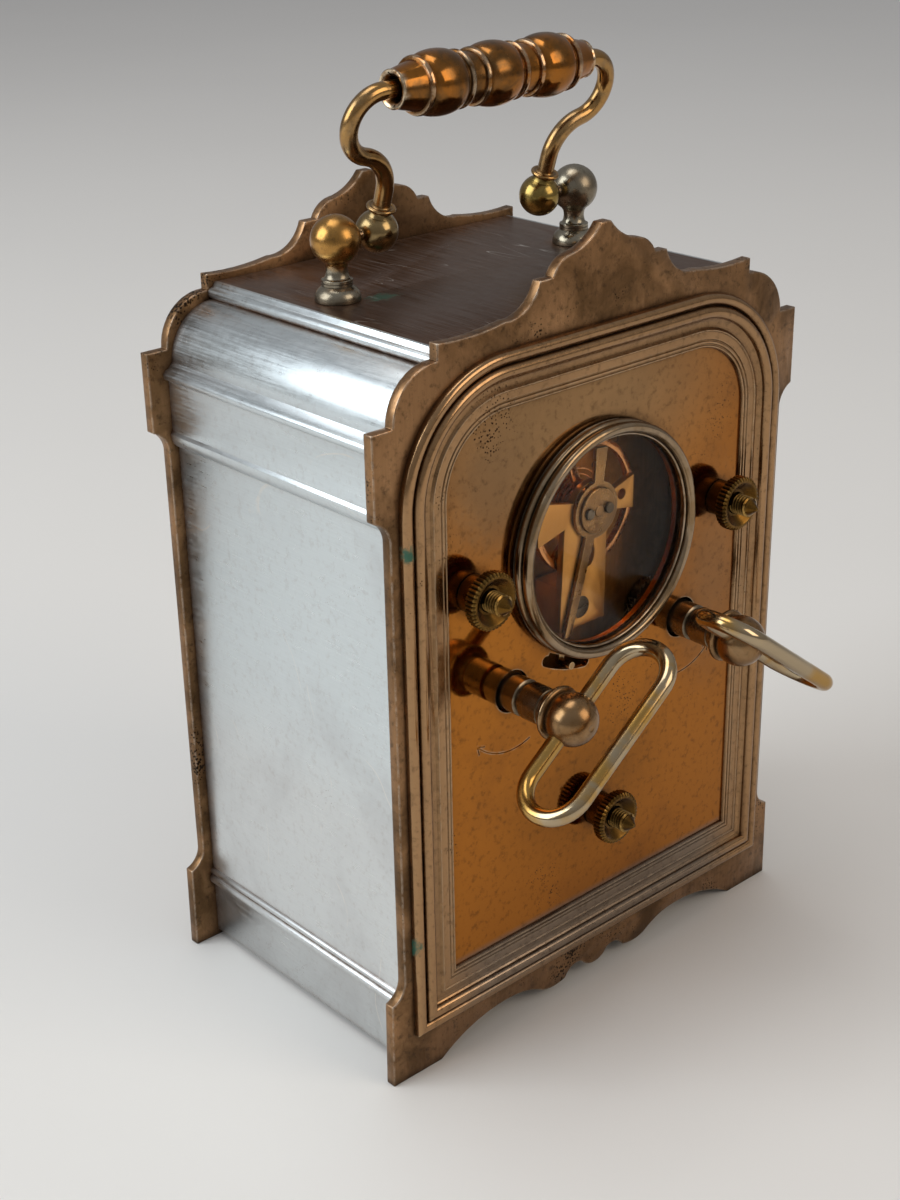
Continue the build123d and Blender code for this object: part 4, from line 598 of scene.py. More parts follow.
FINISHES: dict[Slot, Finish] = {
    Slot.SILVER_SHEET: Metal(
        "silver_sheet_finish", (0.66, 0.71, 0.725), (0.57, 0.595, 0.605), (0.22, 0.13, 0.08), 0.28,
        cloud_scale=45.0, cloud_low=0.45, cloud_high=0.75, pit_amount=0.5, pit_scale=2400.0,
        brush_across=4200.0, brush_along=110.0, brush_turn=(1.5708, 0.0, 0.0), scratch_width=0.0015,
        shade_and_dirt_reach=0.0019, unevenness=0.06, relief=0.07, tarnish=0.16,
        regions=(
            PAINTED_FLOOR_REFLECTION,
            TOP_SHEET,
            INSIDE_PAINTED_SHADE,
            Region(
                (17.3, -9.2, 104.3), (3.2, 2.0, 2.0), (0, 0, 0), share=0.8, blend=0.7, fray=2.2, green=True,
            ),
        ),
    ),
    Slot.AGED_PLATE: Metal(
        "aged_plate_finish", (0.335, 0.185, 0.088), (0.125, 0.068, 0.03), (0.03, 0.02, 0.013), 0.27,
        cloud_scale=85.0, cloud_low=0.38, cloud_high=0.66, pit_amount=1.5, pit_scale=2200.0,
        brush_across=1800.0, brush_along=120.0, shade_and_dirt_reach=0.0016, edge_reach=0.00035,
        bright=(0.64, 0.55, 0.45), verdigris=0.15, tarnish=0.6,
    ),
    Slot.AGED_PANEL: Metal(
        "aged_panel_finish", (0.43, 0.155, 0.022), (0.29, 0.105, 0.02), (0.045, 0.022, 0.01), 0.07,
        cloud_scale=34.0, cloud_low=0.40, cloud_high=0.72, pit_amount=0.75, pit_scale=2300.0,
        shade_and_dirt_reach=0.0022, edge_reach=0.00025, bright=(0.58, 0.45, 0.30), unevenness=0.06, tarnish=0.45,
        regions=(
            UPPER_PANEL_PAINTED_REFLECTION,
            LOW_SMUDGE,
            SIDE_SMUDGE,
            PIT_CLUSTER,
            DIAL_SIDE,
            DIAL_SIDE_CLOUD,
            MOULDING,
            LOW_MOULDING,
            Region((35.8, 16.4, 79.9), (1.3, 1.6, 1.7), (0, 0, 0), blend=0.7, fray=2.4, green=True),
            Region((36.6, 15.9, 21.8), (1.6, 2.0, 1.8), (0, 0, 0), blend=0.7, fray=2.4, green=True),
        ),
    ),
    Slot.NICKEL: Metal(
        "nickel_finish", (0.50, 0.45, 0.38), (0.40, 0.33, 0.24), (0.08, 0.06, 0.04), 0.20,
        cloud_scale=120.0, shade_and_dirt_reach=0.001, pit_amount=0.3, pit_scale=1800.0,
    ),
    Slot.KEY_BRASS: Metal(
        "key_metal_finish", (0.315, 0.195, 0.098), (0.25, 0.135, 0.055), (0.06, 0.04, 0.022), 0.22,
        cloud_scale=110.0, shade_and_dirt_reach=0.001, pit_amount=0.25, pit_scale=1800.0, unevenness=0.06,
        tarnish=0.4,
        regions=(Region((0, 18.5, 54), (40, 6.0, 9), (0.27, 0.215, 0.15), boxed=True, blend=0.02),),
    ),
    Slot.HANDLE_BRASS: Metal(
        "handle_brass_finish", (0.335, 0.128, 0.023), (0.15, 0.075, 0.025), (0.05, 0.028, 0.014), 0.15,
        cloud_scale=110.0, cloud_low=0.45, cloud_high=0.62, shade_and_dirt_reach=0.001, edge_reach=0.0007,
        bright=(0.68, 0.56, 0.40), pit_amount=0.3, pit_scale=1500.0, tarnish=0.45,
    ),
    Slot.NUT_BRASS: Metal(
        "nut_brass_finish", (0.145, 0.07, 0.013), (0.085, 0.043, 0.010), (0.035, 0.024, 0.01), 0.26,
        cloud_scale=160.0, shade_and_dirt_reach=0.0008, edge_reach=0.0003, bright=(0.44, 0.27, 0.08),
    ),
    Slot.MOVEMENT_BRASS: Metal(
        "movement_brass_finish", (0.58, 0.27, 0.075), (0.42, 0.20, 0.055), (0.06, 0.03, 0.012), 0.42,
        cloud_scale=150.0, shade_and_dirt_reach=0.0008, brush_across=2400.0, brush_along=160.0,
    ),
    Slot.BALANCE_COPPER: Metal(
        "balance_copper_finish", (0.70, 0.36, 0.17), (0.50, 0.25, 0.12), (0.07, 0.03, 0.015), 0.22,
        cloud_scale=180.0,
    ),
    Slot.STEEL: Metal(
        "steel_finish", (0.20, 0.18, 0.155), (0.12, 0.10, 0.08), (0.05, 0.035, 0.025), 0.26,
        cloud_scale=200.0, shade_and_dirt_reach=0.0006,
    ),
    Slot.BELL_METAL: Metal(
        "bell_metal_finish", (0.60, 0.46, 0.26), (0.48, 0.34, 0.18), (0.08, 0.05, 0.03), 0.22,
        cloud_scale=70.0,
    ),
    Slot.BLUED_STEEL: Metal(
        "blued_steel_finish", (0.035, 0.05, 0.14), (0.02, 0.025, 0.07), (0.01, 0.01, 0.02), 0.22,
        cloud_scale=200.0,
    ),
    Slot.SURROUND: Metal(
        "surround_finish", (0.62, 0.44, 0.20), (0.50, 0.33, 0.15), (0.10, 0.06, 0.03), 0.34,
        cloud_scale=90.0, pit_amount=0.3, pit_scale=1600.0,
    ),
    Slot.ENAMEL: Paint("dial_enamel_finish", (0.90, 0.88, 0.82), (0.86, 0.83, 0.75), 0.22, coat=0.4),
    Slot.CLEAR_GLASS: Glass("clear_glass_finish"),
}
BEZEL = Metal(
    "bezel_finish", (0.34, 0.25, 0.16), (0.27, 0.175, 0.09), (0.06, 0.042, 0.028), 0.18,
    cloud_scale=130.0, shade_and_dirt_reach=0.0009, edge_reach=0.0004, bright=(0.62, 0.50, 0.38),
    unevenness=0.06, tarnish=0.35,
)
POST = Metal(
    "post_finish", (0.30, 0.265, 0.20), (0.21, 0.17, 0.12), (0.06, 0.045, 0.03), 0.24,
    cloud_scale=150.0, shade_and_dirt_reach=0.0008, pit_amount=0.3, pit_scale=1800.0, unevenness=0.08, tarnish=0.4,
    regions=(Region((22.4, -12.15, 112.9), (4.9, 4.9, 4.9), (0.45, 0.235, 0.065), blend=0.25, fray=0.3),),
)
WIRE = Metal(
    "wire_finish", (0.42, 0.235, 0.08), (0.32, 0.20, 0.09), (0.055, 0.035, 0.018), 0.17,
    cloud_scale=140.0, cloud_low=0.44, cloud_high=0.6, shade_and_dirt_reach=0.0008, pit_amount=0.3,
    pit_scale=1600.0, tarnish=0.35,
    regions=(
        Region((15.3, -12.15, 112.4), (3.8, 3.8, 3.8), (0.33, 0.23, 0.105), blend=0.12, fray=0.3),
        Region((-15.3, -12.15, 112.4), (3.8, 3.8, 3.8), (0.34, 0.235, 0.07), blend=0.12, fray=0.3),
    ),
)
LOOP = Metal(
    "key_loop_finish", (0.44, 0.345, 0.22), (0.46, 0.27, 0.075), (0.07, 0.045, 0.025), 0.15,
    cloud_scale=70.0, cloud_low=0.44, cloud_high=0.58, shade_and_dirt_reach=0.0008, pit_amount=0.25, pit_scale=1800.0,
    unevenness=0.06,
)
COCK = Metal(
    "cock_brass_finish", (0.70, 0.40, 0.135), (0.60, 0.33, 0.11), (0.10, 0.05, 0.02), 0.32,
    cloud_scale=120.0, shade_and_dirt_reach=0.0006, brush_across=2400.0, brush_along=160.0, unevenness=0.06,
)
INDEX = Metal(
    "index_finish", (0.42, 0.26, 0.12), (0.30, 0.19, 0.10), (0.07, 0.04, 0.02), 0.24,
    cloud_scale=160.0, shade_and_dirt_reach=0.0006, edge_reach=0.00025, bright=(0.62, 0.46, 0.26),
)
DOOR_GLASS = Glass("door_glass_finish", (0.985, 0.975, 0.95))
PRINT = Paint("dial_print_finish", (0.02, 0.018, 0.016), (0.04, 0.035, 0.03), 0.35)


class Palette:
    """Makes each finish once, when it is first asked for."""

    def __init__(self) -> None:
        """Builds the shared effects."""
        self.effects = Effects()
        self.made: dict[Finish, Material] = {}

    def material(self, wanted: Slot | Finish) -> Material:
        """Gives the material of a slot, or of a finish of its own."""
        finish = FINISHES[wanted] if isinstance(wanted, Slot) else wanted
        if finish not in self.made:
            self.made[finish] = finish.build(self.effects)
        return self.made[finish]


# Shapes

# Each profile holds a radius or an inset, then a height. The grip's ring and bell count
# theirs from the ring's middle and from the grip's end.
COVE_AND_STEP = [
    (3.75, 0.50), (4.05, 0.30), (4.45, 0.24), (4.85, 0.32), (5.1, 0.55), (5.2, 0.68), (5.32, 0.68),
    (5.45, 0.52), (6.5, 0.50), (6.6, 0.36), (6.75, 0.36), (6.85, 0.50), (7.1, 0.50), (7.2, 0.34),
    (7.35, 0.34), (7.45, 0.46), (7.6, 0.44), (7.75, 0.25), (7.8, 0.0),
]
PIPE_GROOVES = [
    (0.0, 2.7), (0.15, 2.85), (0.4, 2.95), (0.4, 3.45), (0.15, 3.55),
    (0.0, 3.7), (0.0, 6.9), (0.12, 7.0), (0.12, 7.15), (0.0, 7.25),
]
POST_FOOT = [
    (3.0, 0.01), (3.14, 0.12), (3.15, 0.45), (3.10, 0.85), (2.96, 1.2), (2.74, 1.52), (2.46, 1.8),
    (2.2, 1.98), (2.12, 2.05), (2.06, 2.1), (2.12, 2.17), (2.12, 2.48), (2.05, 2.52), (2.05, 2.58),
    (2.12, 2.63), (2.12, 2.92), (2.06, 3.0), (1.88, 3.05), (1.76, 3.12), (1.62, 3.4), (1.53, 3.75),
    (1.49, 4.1), (1.5, 4.45), (1.56, 4.75), (1.66, 5.0),
]
COLLAR_FOOT = [(0.0, 2.0), (1.95, 2.0), (1.72, 2.35), (1.5, 2.72), (1.4, 2.98), (1.42, 3.1), (1.62, 3.2)]
COLLAR_TOP = [(1.62, 3.78), (1.42, 3.72), (1.3, 3.78), (1.15, 3.95), (0.0, 3.95)]
GRIP_WAIST = 3.4
GRIP_RING = [(GRIP_WAIST, -0.5), (3.72, -0.42), (3.84, -0.2), (3.86, 0.05), (3.74, 0.25), (3.5, 0.34)]
GRIP_BELL = [
    (3.12, 3.0), (2.96, 2.4), (2.8, 1.7), (2.62, 0.9), (2.5, 0.45), (2.56, 0.3),
    (2.56, 0.1), (2.44, 0.0), (2.2, 0.02), (1.98, 0.2), (1.72, 0.45), (1.5, 0.9),
]


def new_object(name: str, data: bpy.types.ID) -> bpy.types.Object:
    """Makes an object of a mesh, a light or a camera, in the scene."""
    obj = bpy.data.objects.new(name, data)
    bpy.context.scene.collection.objects.link(obj)
    return obj


def outward(x: float, z: float, face: Face = Face.REAR) -> Matrix:
    """Place on a face of the clock whose Z points out of it.

    Args:
        x: place across the clock.
        z: height of the place.
        face: the face.

    Returns:
        The matrix from the place's own frame to the clock's.
    """
    y = BACK_FACE if face is Face.REAR else BACK_FACE - CASE_DEPTH
    return Matrix.Translation((x, y, z)) @ Matrix.Rotation(-math.pi / 2 * face.value, 4, "X")


def around(radius: float, angle: float, centre: Point = (0.0, CENTRE_Z)) -> Point:
    """Place at a radius and an angle in degrees from a centre."""
    turn = math.radians(angle)
    return centre[0] + radius * math.cos(turn), centre[1] + radius * math.sin(turn)


def arc(centre: Point, radius: float, start: float, end: float, steps: int = 12) -> list[Point]:
    """Points along an arc in a profile.

    Args:
        centre: radius and height of the arc's centre.
        radius: its own radius.
        start: first angle in degrees.
        end: last angle in degrees.
        steps: number of chords.

    Returns:
        The points from start to end.
    """
    return [around(radius, start + (end - start) * i / steps, centre) for i in range(steps + 1)]


def sweep(bm: Mesh, geom: list, angle: float, steps: int, climb: float = 0.0, closed: bool = False) -> None:
    """Sweeps geometry about the Z axis.

    Args:
        bm: the mesh.
        geom: its vertices, edges and faces that are swept.
        angle: the angle in radians.
        steps: number of facets.
        climb: rise at each step.
        closed: the last step meets the first.
    """
    bmesh.ops.spin(
        bm, geom=geom, cent=(0, 0, 0), axis=UP, dvec=(0, 0, climb),
        angle=angle, steps=steps, use_merge=closed, use_duplicate=False,
    )
    if closed:
        bmesh.ops.remove_doubles(bm, verts=bm.verts, dist=WELD)
    bmesh.ops.recalc_face_normals(bm, faces=bm.faces)


def weld(bm: Mesh) -> Mesh:
    """Joins a wire's seams, fills its open ends and gives it back."""
    bmesh.ops.remove_doubles(bm, verts=bm.verts, dist=2 * WELD)
    open_edges = [edge for edge in bm.edges if edge.is_boundary]
    if open_edges:
        bmesh.ops.holes_fill(bm, edges=open_edges, sides=0)
    bmesh.ops.recalc_face_normals(bm, faces=bm.faces)
    return bm


class Shape:
    """A mesh in the making."""

    def __init__(self) -> None:
        """Starts empty."""
        self.mesh = bmesh.new()

    def absorb(self, other: Mesh, place: Matrix | None = None) -> "Shape":
        """Takes in another mesh at a place, frees it and gives this shape."""
        if place is not None:
            bmesh.ops.transform(other, matrix=place, verts=other.verts)
        held = bpy.data.meshes.new("held")
        other.to_mesh(held)
        other.free()
        self.mesh.from_mesh(held)
        bpy.data.meshes.remove(held)
        return self

    def bar(self, size: Triple, middle: Triple, place: Matrix) -> "Shape":
        """Takes in a box of a size about a middle, at a place, and gives this shape."""
        bm = bmesh.new()
        bmesh.ops.create_cube(bm, size=1.0)
        bmesh.ops.scale(bm, vec=size, verts=bm.verts)
        bmesh.ops.translate(bm, vec=middle, verts=bm.verts)
        return self.absorb(bm, place)

    def turn(self, profile: Sequence[Point], place: Matrix, steps: int = 72) -> "Shape":
        """Turns a profile of radii and heights about the place's Z axis.

        Args:
            profile: the points, with both ends on the axis or the first one repeated last.
            place: the turned piece's own frame.
            steps: number of facets around.

        Returns:
            This shape.
        """
        bm = bmesh.new()
        verts = [bm.verts.new((radius, 0.0, height)) for radius, height in profile]
        edges = [bm.edges.new(pair) for pair in zip(verts, verts[1:])]
        sweep(bm, verts + edges, 2 * math.pi, steps, closed=True)
        return self.absorb(bm, place)

    def soften(self, width: float, sharp: float) -> "Shape":
        """Rounds every edge sharper than an angle in degrees and gives this shape."""
        limit = math.radians(sharp)
        edges = [edge for edge in self.mesh.edges if edge.is_manifold and edge.calc_face_angle(0.0) > limit]
        bmesh.ops.bevel(
            self.mesh, geom=edges, offset=width, segments=2, profile=0.5,
            affect="EDGES", clamp_overlap=True, material=-1,
        )
        return self

    def cut(self, cutter: "Shape") -> "Shape":
        """Takes another shape's volume away, frees it and gives this shape."""
        objects = []
        for bm in (self.mesh, cutter.mesh):
            held = bpy.data.meshes.new("held")
            bm.to_mesh(held)
            bm.free()
            objects.append(new_object("held", held))
        modifier = objects[0].modifiers.new("cut", "BOOLEAN")
        modifier.object = objects[1]
        modifier.operation = "DIFFERENCE"
        modifier.solver = "EXACT"
        modifier.use_self = True
        bpy.context.view_layer.update()
        seen = objects[0].evaluated_get(bpy.context.evaluated_depsgraph_get())
        self.mesh = bmesh.new()
        self.mesh.from_mesh(seen.to_mesh())
        for obj in objects:
            held = obj.data
            bpy.data.objects.remove(obj)
            bpy.data.meshes.remove(held)
        return self

    def piece(
        self, palette: Palette, name: str, body: str, slot: Slot, nodes: Sequence[str] = (),
        finish: Finish | None = None, smooth: float = 35.0,
    ) -> bpy.types.Object:
        """Finishes the shape as a piece of the model.

        Args:
            palette: the palette of finishes.
            name: name of the piece.
            body: the CAD body that it rides on.
            slot: the record's slot of its finish.
            nodes: CAD nodes that it stands for.
            finish: its finish, where it isn't the slot's own.
            smooth: edges sharper than this angle in degrees stay sharp.

        Returns:
            The new object.
        """
        bmesh.ops.scale(self.mesh, vec=(MM, MM, MM), verts=self.mesh.verts)
        mesh = bpy.data.meshes.new(name)
        self.mesh.to_mesh(mesh)
        self.mesh.free()
        mesh.materials.append(palette.material(finish or slot))
        mesh.shade_smooth()
        mesh.set_sharp_from_angle(angle=math.radians(smooth))
        obj = new_object(name, mesh)
        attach(obj, body)
        if nodes:
            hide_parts(*nodes)
        LOG.info("%s: %d faces on %s", name, len(mesh.polygons), body)
        return obj


def copied(node: str) -> Shape:
    """Copies a CAD node into a shape, with its flat facets joined."""
    shape = Shape()
    bm = shape.mesh
    bm.from_mesh(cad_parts[node].data)
    bmesh.ops.scale(bm, vec=(1 / MM, 1 / MM, 1 / MM), verts=bm.verts)
    bmesh.ops.remove_doubles(bm, verts=bm.verts, dist=COPY_WELD)
    bmesh.ops.dissolve_limit(
        bm, angle_limit=math.radians(FLAT_ANGLE), use_dissolve_boundaries=False,
        verts=bm.verts, edges=bm.edges, delimit=set(),
    )
    return shape


class Wire:
    """A round wire led along straights and bends in its own XY plane."""

    def __init__(self, radius: float, start: Vector, along: Vector, sides: int = 20) -> None:
        """Lays the first ring.

        Args:
            radius: half the wire's thickness.
            start: where the wire begins.
            along: unit direction in which it sets off.
            sides: facets around the wire.
        """
        self.mesh = bmesh.new()
        self.along = along.normalized()
        turn = UP.rotation_difference(self.along).to_matrix().to_4x4()
        ring = bmesh.ops.create_circle(
            self.mesh, cap_ends=False, radius=radius, segments=sides, matrix=Matrix.Translation(start) @ turn
        )
        self.end = list({edge for vert in ring["verts"] for edge in vert.link_edges})

    def forward(self, length: float) -> None:
        """Runs straight on for a length."""
        grown = bmesh.ops.extrude_edge_only(self.mesh, edges=self.end)["geom"]
        verts = [item for item in grown if isinstance(item, bmesh.types.BMVert)]
        edges = [item for item in grown if isinstance(item, bmesh.types.BMEdge)]
        bmesh.ops.translate(self.mesh, vec=self.along * length, verts=verts)
        self.end = [edge for edge in edges if all(vert in verts for vert in edge.verts)]

    def bend(self, x: float, y: float, degrees: float, steps: int) -> None:
        """Bends by an angle in a number of facets, about a centre at x and y."""
        angle = math.radians(degrees)
        verts = list({vert for edge in self.end for vert in edge.verts})
        grown = bmesh.ops.spin(
            self.mesh, geom=verts + self.end, cent=(x, y, 0), axis=UP, dvec=(0, 0, 0),
            angle=angle, steps=steps, use_merge=False, use_duplicate=False,
        )["geom_last"]
        self.end = [item for item in grown if isinstance(item, bmesh.types.BMEdge)]
        self.along = Matrix.Rotation(angle, 4, UP) @ self.along


# Sub-assemblies


CASE_SHEETS = (
    ("back_plate", "back_plate_fretted", "case", Slot.AGED_PLATE, None, 0.12, 35.0),
    ("front_plate", "front_plate_fretted", "case", Slot.AGED_PLATE, None, 0.12, 35.0),
    ("case_body", "sheet_body", "case", Slot.SILVER_SHEET, None, 0.18, 35.0),
)
WINDOW_MOVEMENT = (
    ("balance_cock", "balance_cock_eased", "case", Slot.MOVEMENT_BRASS, COCK, 0.09, 40.0),
    ("end_cap", "end_cap_eased", "case", Slot.STEEL, INDEX, 0.09, 40.0),
    ("regulator", "regulator_eased", "regulator", Slot.STEEL, INDEX, 0.09, 40.0),
    ("balance_wheel", "balance_wheel_eased", "balance", Slot.BALANCE_COPPER, None, 0.09, 40.0),
    ("movement_screws", "movement_screws_eased", "case", Slot.STEEL, None, 0.09, 40.0),
)
FRONT_DOOR = (
    ("door_bezel", "door_bezel_eased", "door", Slot.NICKEL, None, 0.12, 40.0),
    ("door_glass", "door_glass_eased", "door", Slot.CLEAR_GLASS, DOOR_GLASS, 0.1, 40.0),
)


def ease_edges(palette: Palette, rows: Sequence[tuple]) -> None:
    """Builds pieces whose shapes are CAD nodes with rounded edges.

    Args:
        palette: the palette of finishes.
        rows: node, piece, body, slot, finish of its own, width of the rounding, and sharp angle.
    """
    for node, name, body, slot, finish, width, sharp in rows:
        copied(node).soften(width, sharp).piece(palette, name, body, slot, [node], finish)


@dataclass
class MouldedPanel:
    """A panel in its moulded frame, on one face of the clock."""

    face: Face
    node: str
    half_width: float = 36.4
    bottom: float = 6.9
    top: float = 102.4
    corner: float = 18.0
    corner_steps: int = 28
    panel_inset: float = 5.22
    thickness: float = 0.8
    least_step: float = 0.004
    cutter_depth: float = 8.0
    wide_facets: int = 128
    window_facets: int = 96
    key_facets: int = 40
    small_facets: int = 24
    arc_facets: int = 18
    key_hole: float = 3.1
    stud_hole: float = 1.56
    slot_centre: Point = (0.0, 75.5)
    slot_radius: float = 21.9
    slot_width: float = 1.6
    slot_under: float = 0.5
    slot_angles: tuple[float, float] = (-82.0, -61.0)
    mark_radius: float = 9.0
    mark_width: float = 0.2
    mark_depth: float = 0.18
    barb: float = 1.5
    barb_back: float = 0.72
    barb_slant: float = 28.0
    dial_opening: float = 24.6

    def profile(self) -> list[Point]:
        """Insets and heights of the moulding, from its outer edge to the panel.

        Returns:
            The points: two beads, a cove and a step with two fine grooves.
        """
        points = [(0.02, 0.35)]
        for inset, width, foot, height in ((0.85, 0.81, 0.55, 0.75), (2.67, 0.90, 0.62, 0.88)):
            turns = [math.radians(angle) for angle in range(0, 181, 18)]
            points += [(inset - width * math.cos(turn), foot + height * math.sin(turn)) for turn in turns]
        return points + COVE_AND_STEP

    def build(self, palette: Palette) -> None:
        """Builds and dresses the piece."""
        cutter = Shape()
        if self.face is Face.REAR:
            self._rear_holes(cutter)
        else:
            self._bore(cutter, (0.0, CENTRE_Z), self.dial_opening, self.wide_facets)
        shape = self._moulding().cut(cutter)
        shape.piece(palette, f"{self.node}_moulded", "case", Slot.AGED_PANEL, [self.node], smooth=28.0)

    def _moulding(self) -> Shape:
        """Makes the closed panel and frame, before its holes are cut."""
        shape = Shape()
        bm = shape.mesh
        middle = (self.bottom + self.top) / 2
        half_height = (self.top - self.bottom) / 2
        corners = [(-1, -1), (1, -1), (1, 1), (-1, 1)]
        verts = [bm.verts.new((x * self.half_width, z * half_height, 0.0)) for x, z in corners]
        bm.faces.new(verts)
        bmesh.ops.bevel(
            bm, geom=verts[2:], offset=self.corner, segments=self.corner_steps, profile=0.5,
            affect="VERTICES", clamp_overlap=False, material=-1,
        )
        grown = bmesh.ops.extrude_face_region(bm, geom=bm.faces[:])["geom"]
        top = next(item for item in grown if isinstance(item, bmesh.types.BMFace))
        bm.faces.ensure_lookup_table()
        under = next(face for face in bm.faces if face is not top and len(face.verts) == len(top.verts))
        points = self.profile()
        bmesh.ops.translate(bm, vec=(0, 0, points[0][1]), verts=top.verts)
        top.normal_update()
        for (inset, height), (next_inset, next_height) in zip(points, points[1:]):
            step = max(next_inset - inset, self.least_step)
            self._inset(bm, top, step)
            bmesh.ops.translate(bm, vec=(0, 0, next_height - height), verts=top.verts)
        self._inset(bm, under, self.panel_inset)
        inner = bmesh.ops.extrude_face_region(bm, geom=[under])["geom"]
        lowered = [item for item in inner if isinstance(item, bmesh.types.BMVert)]
        bmesh.ops.translate(bm, vec=(0, 0, -self.thickness), verts=lowered)
        if under.is_valid:
            bmesh.ops.delete(bm, geom=[under], context="FACES_ONLY")
        bmesh.ops.remove_doubles(bm, verts=bm.verts, dist=WELD)
        bmesh.ops.recalc_face_normals(bm, faces=bm.faces)
        place = outward(0.0, middle, self.face)
        if self.face is Face.REAR:
            place = place @ Matrix.Rotation(math.pi, 4, "Z")
        bmesh.ops.transform(bm, matrix=place, verts=bm.verts)
        return shape

    @staticmethod
    def _inset(bm: Mesh, face: bmesh.types.BMFace, width: float) -> None:
        """Draws a face's border in by a width."""
        bmesh.ops.inset_region(
            bm, faces=[face], thickness=width, depth=0.0, use_even_offset=True, use_boundary=True
        )

    def _bore(self, cutter: Shape, spot: Point, radius: float, steps: int) -> None:
        """Adds a round cutter through the panel."""
        bm = bmesh.new()
        bmesh.ops.create_cone(
            bm, cap_ends=True, segments=steps, radius1=radius, radius2=radius, depth=self.cutter_depth
        )
        cutter.absorb(bm, outward(*spot, self.face))

    def _rear_holes(self, cutter: Shape) -> None:
        """Adds window, key and stud holes, and the regulator's arc slot."""
        self._bore(cutter, (0.0, WINDOW_Z), WINDOW_OPENING, self.window_facets)
        for side in (1, -1):
            self._bore(cutter, (side * KEY_X, KEY_Z), self.key_hole, self.key_facets)
        for angle in PILLAR_ANGLES:
            self._bore(cutter, around(PILLAR_CIRCLE, angle), self.stud_hole, self.small_facets)
        for angle in self.slot_angles:
            spot = around(self.slot_radius, angle, self.slot_centre)
            self._bore(cutter, spot, self.slot_width / 2, self.small_facets)
        middle = self.slot_radius - self.slot_under / 2
        width = self.slot_width + self.slot_under
        self._arc_cut(cutter, self.slot_centre, middle, (width, self.cutter_depth), self.slot_angles)
        self._turning_marks(cutter)

    def _arc_cut(
        self, cutter: Shape, centre: Point, radius: float, size: Point, angles: tuple[float, float]
    ) -> None:
        """Adds a curved cutter with square ends, half of it below the panel's face.

        Args:
            cutter: the shape that takes it in.
            centre: place of the curve's centre, across and up.
            radius: the curve's radius.
            size: the cutter's width, and its height through the face.
            angles: first and last angle in degrees, seen from behind the clock's dial.
        """
        bm = bmesh.new()
        start, end = (math.radians(angle) for angle in angles)
        corners = [(-0.5, -0.5), (0.5, -0.5), (0.5, 0.5), (-0.5, 0.5)]
        verts = [bm.verts.new((radius + u * size[0], 0.0, v * size[1])) for u, v in corners]
        bm.faces.new(verts)
        bmesh.ops.rotate(bm, matrix=Matrix.Rotation(-start, 3, "Z"), verts=bm.verts)
        sweep(bm, bm.verts[:] + bm.edges[:] + bm.faces[:], start - end, self.arc_facets)
        cutter.absorb(bm, outward(*centre, self.face))

    def _turning_marks(self, cutter: Shape) -> None:
        """Engraves a curved arrow under each key."""
        for side, angles in ((1, (-43.0, -112.0)), (-1, (-137.0, -68.0))):
            centre = (side * KEY_X, KEY_Z)
            self._arc_cut(cutter, centre, self.mark_radius, (self.mark_width, self.mark_depth), angles)
            tip = outward(*around(self.mark_radius, angles[0], centre), self.face)
            for slant in (-self.barb_slant, self.barb_slant):
                way = math.radians(angles[0] + side * (90 + slant))
                size = (self.barb, self.mark_width, self.mark_depth)
                cutter.bar(size, (-self.barb_back, 0, 0), tip @ Matrix.Rotation(-way, 4, "Z"))


@dataclass
class RearWindow:
    """Round window over the balance: bezel and flat glass."""

    outer: float = 17.0
    seat: float = 15.9
    height: float = 2.8
    foot: float = 0.62
    bead: float = 0.74
    glass_radius: float = 15.85
    glass_thickness: float = 1.3
    glass_edge: float = 0.12
    steps: int = 120

    def build(self, palette: Palette) -> None:
        """Builds and dresses the pieces."""
        place = outward(0.0, WINDOW_Z)
        waist = self.outer - self.foot
        bed = self.glass_thickness + 0.02
        ring = [(self.seat, 0.0), (self.outer - 0.15, 0.0)]
        ring += arc((waist, self.foot), self.foot, -60, 75, 12)
        ring += [(waist, 1.22), (self.outer - 0.66, 1.34), (self.outer - 0.50, 1.42)]
        ring += arc((self.outer - 0.86, self.height - self.bead), self.bead, -50, 170, 20)
        ring += [(self.outer - 1.58, 1.92), (WINDOW_OPENING + 0.42, 1.86)]
        ring += arc((WINDOW_OPENING + 0.2, 1.80), 0.2, 60, 180, 6)
        ring += [(WINDOW_OPENING, bed), (self.seat, bed), (self.seat, 0.0)]
        bezel = Shape().turn(ring, place, self.steps)
        bezel.piece(palette, "window_bezel_ring", "case", Slot.NICKEL, ["window_bezel"], BEZEL)
        radius, top, edge = self.glass_radius, self.glass_thickness, self.glass_edge
        pane = [(0.0, 0.0), (radius - edge, 0.0), (radius, edge)]
        pane += [(radius, top - edge), (radius - edge, top), (0.0, top)]
        glass = Shape().turn(pane, place, self.steps)
        obj = glass.piece(palette, "window_pane", "case", Slot.CLEAR_GLASS, ["window_glass"])
        obj.visible_shadow = False


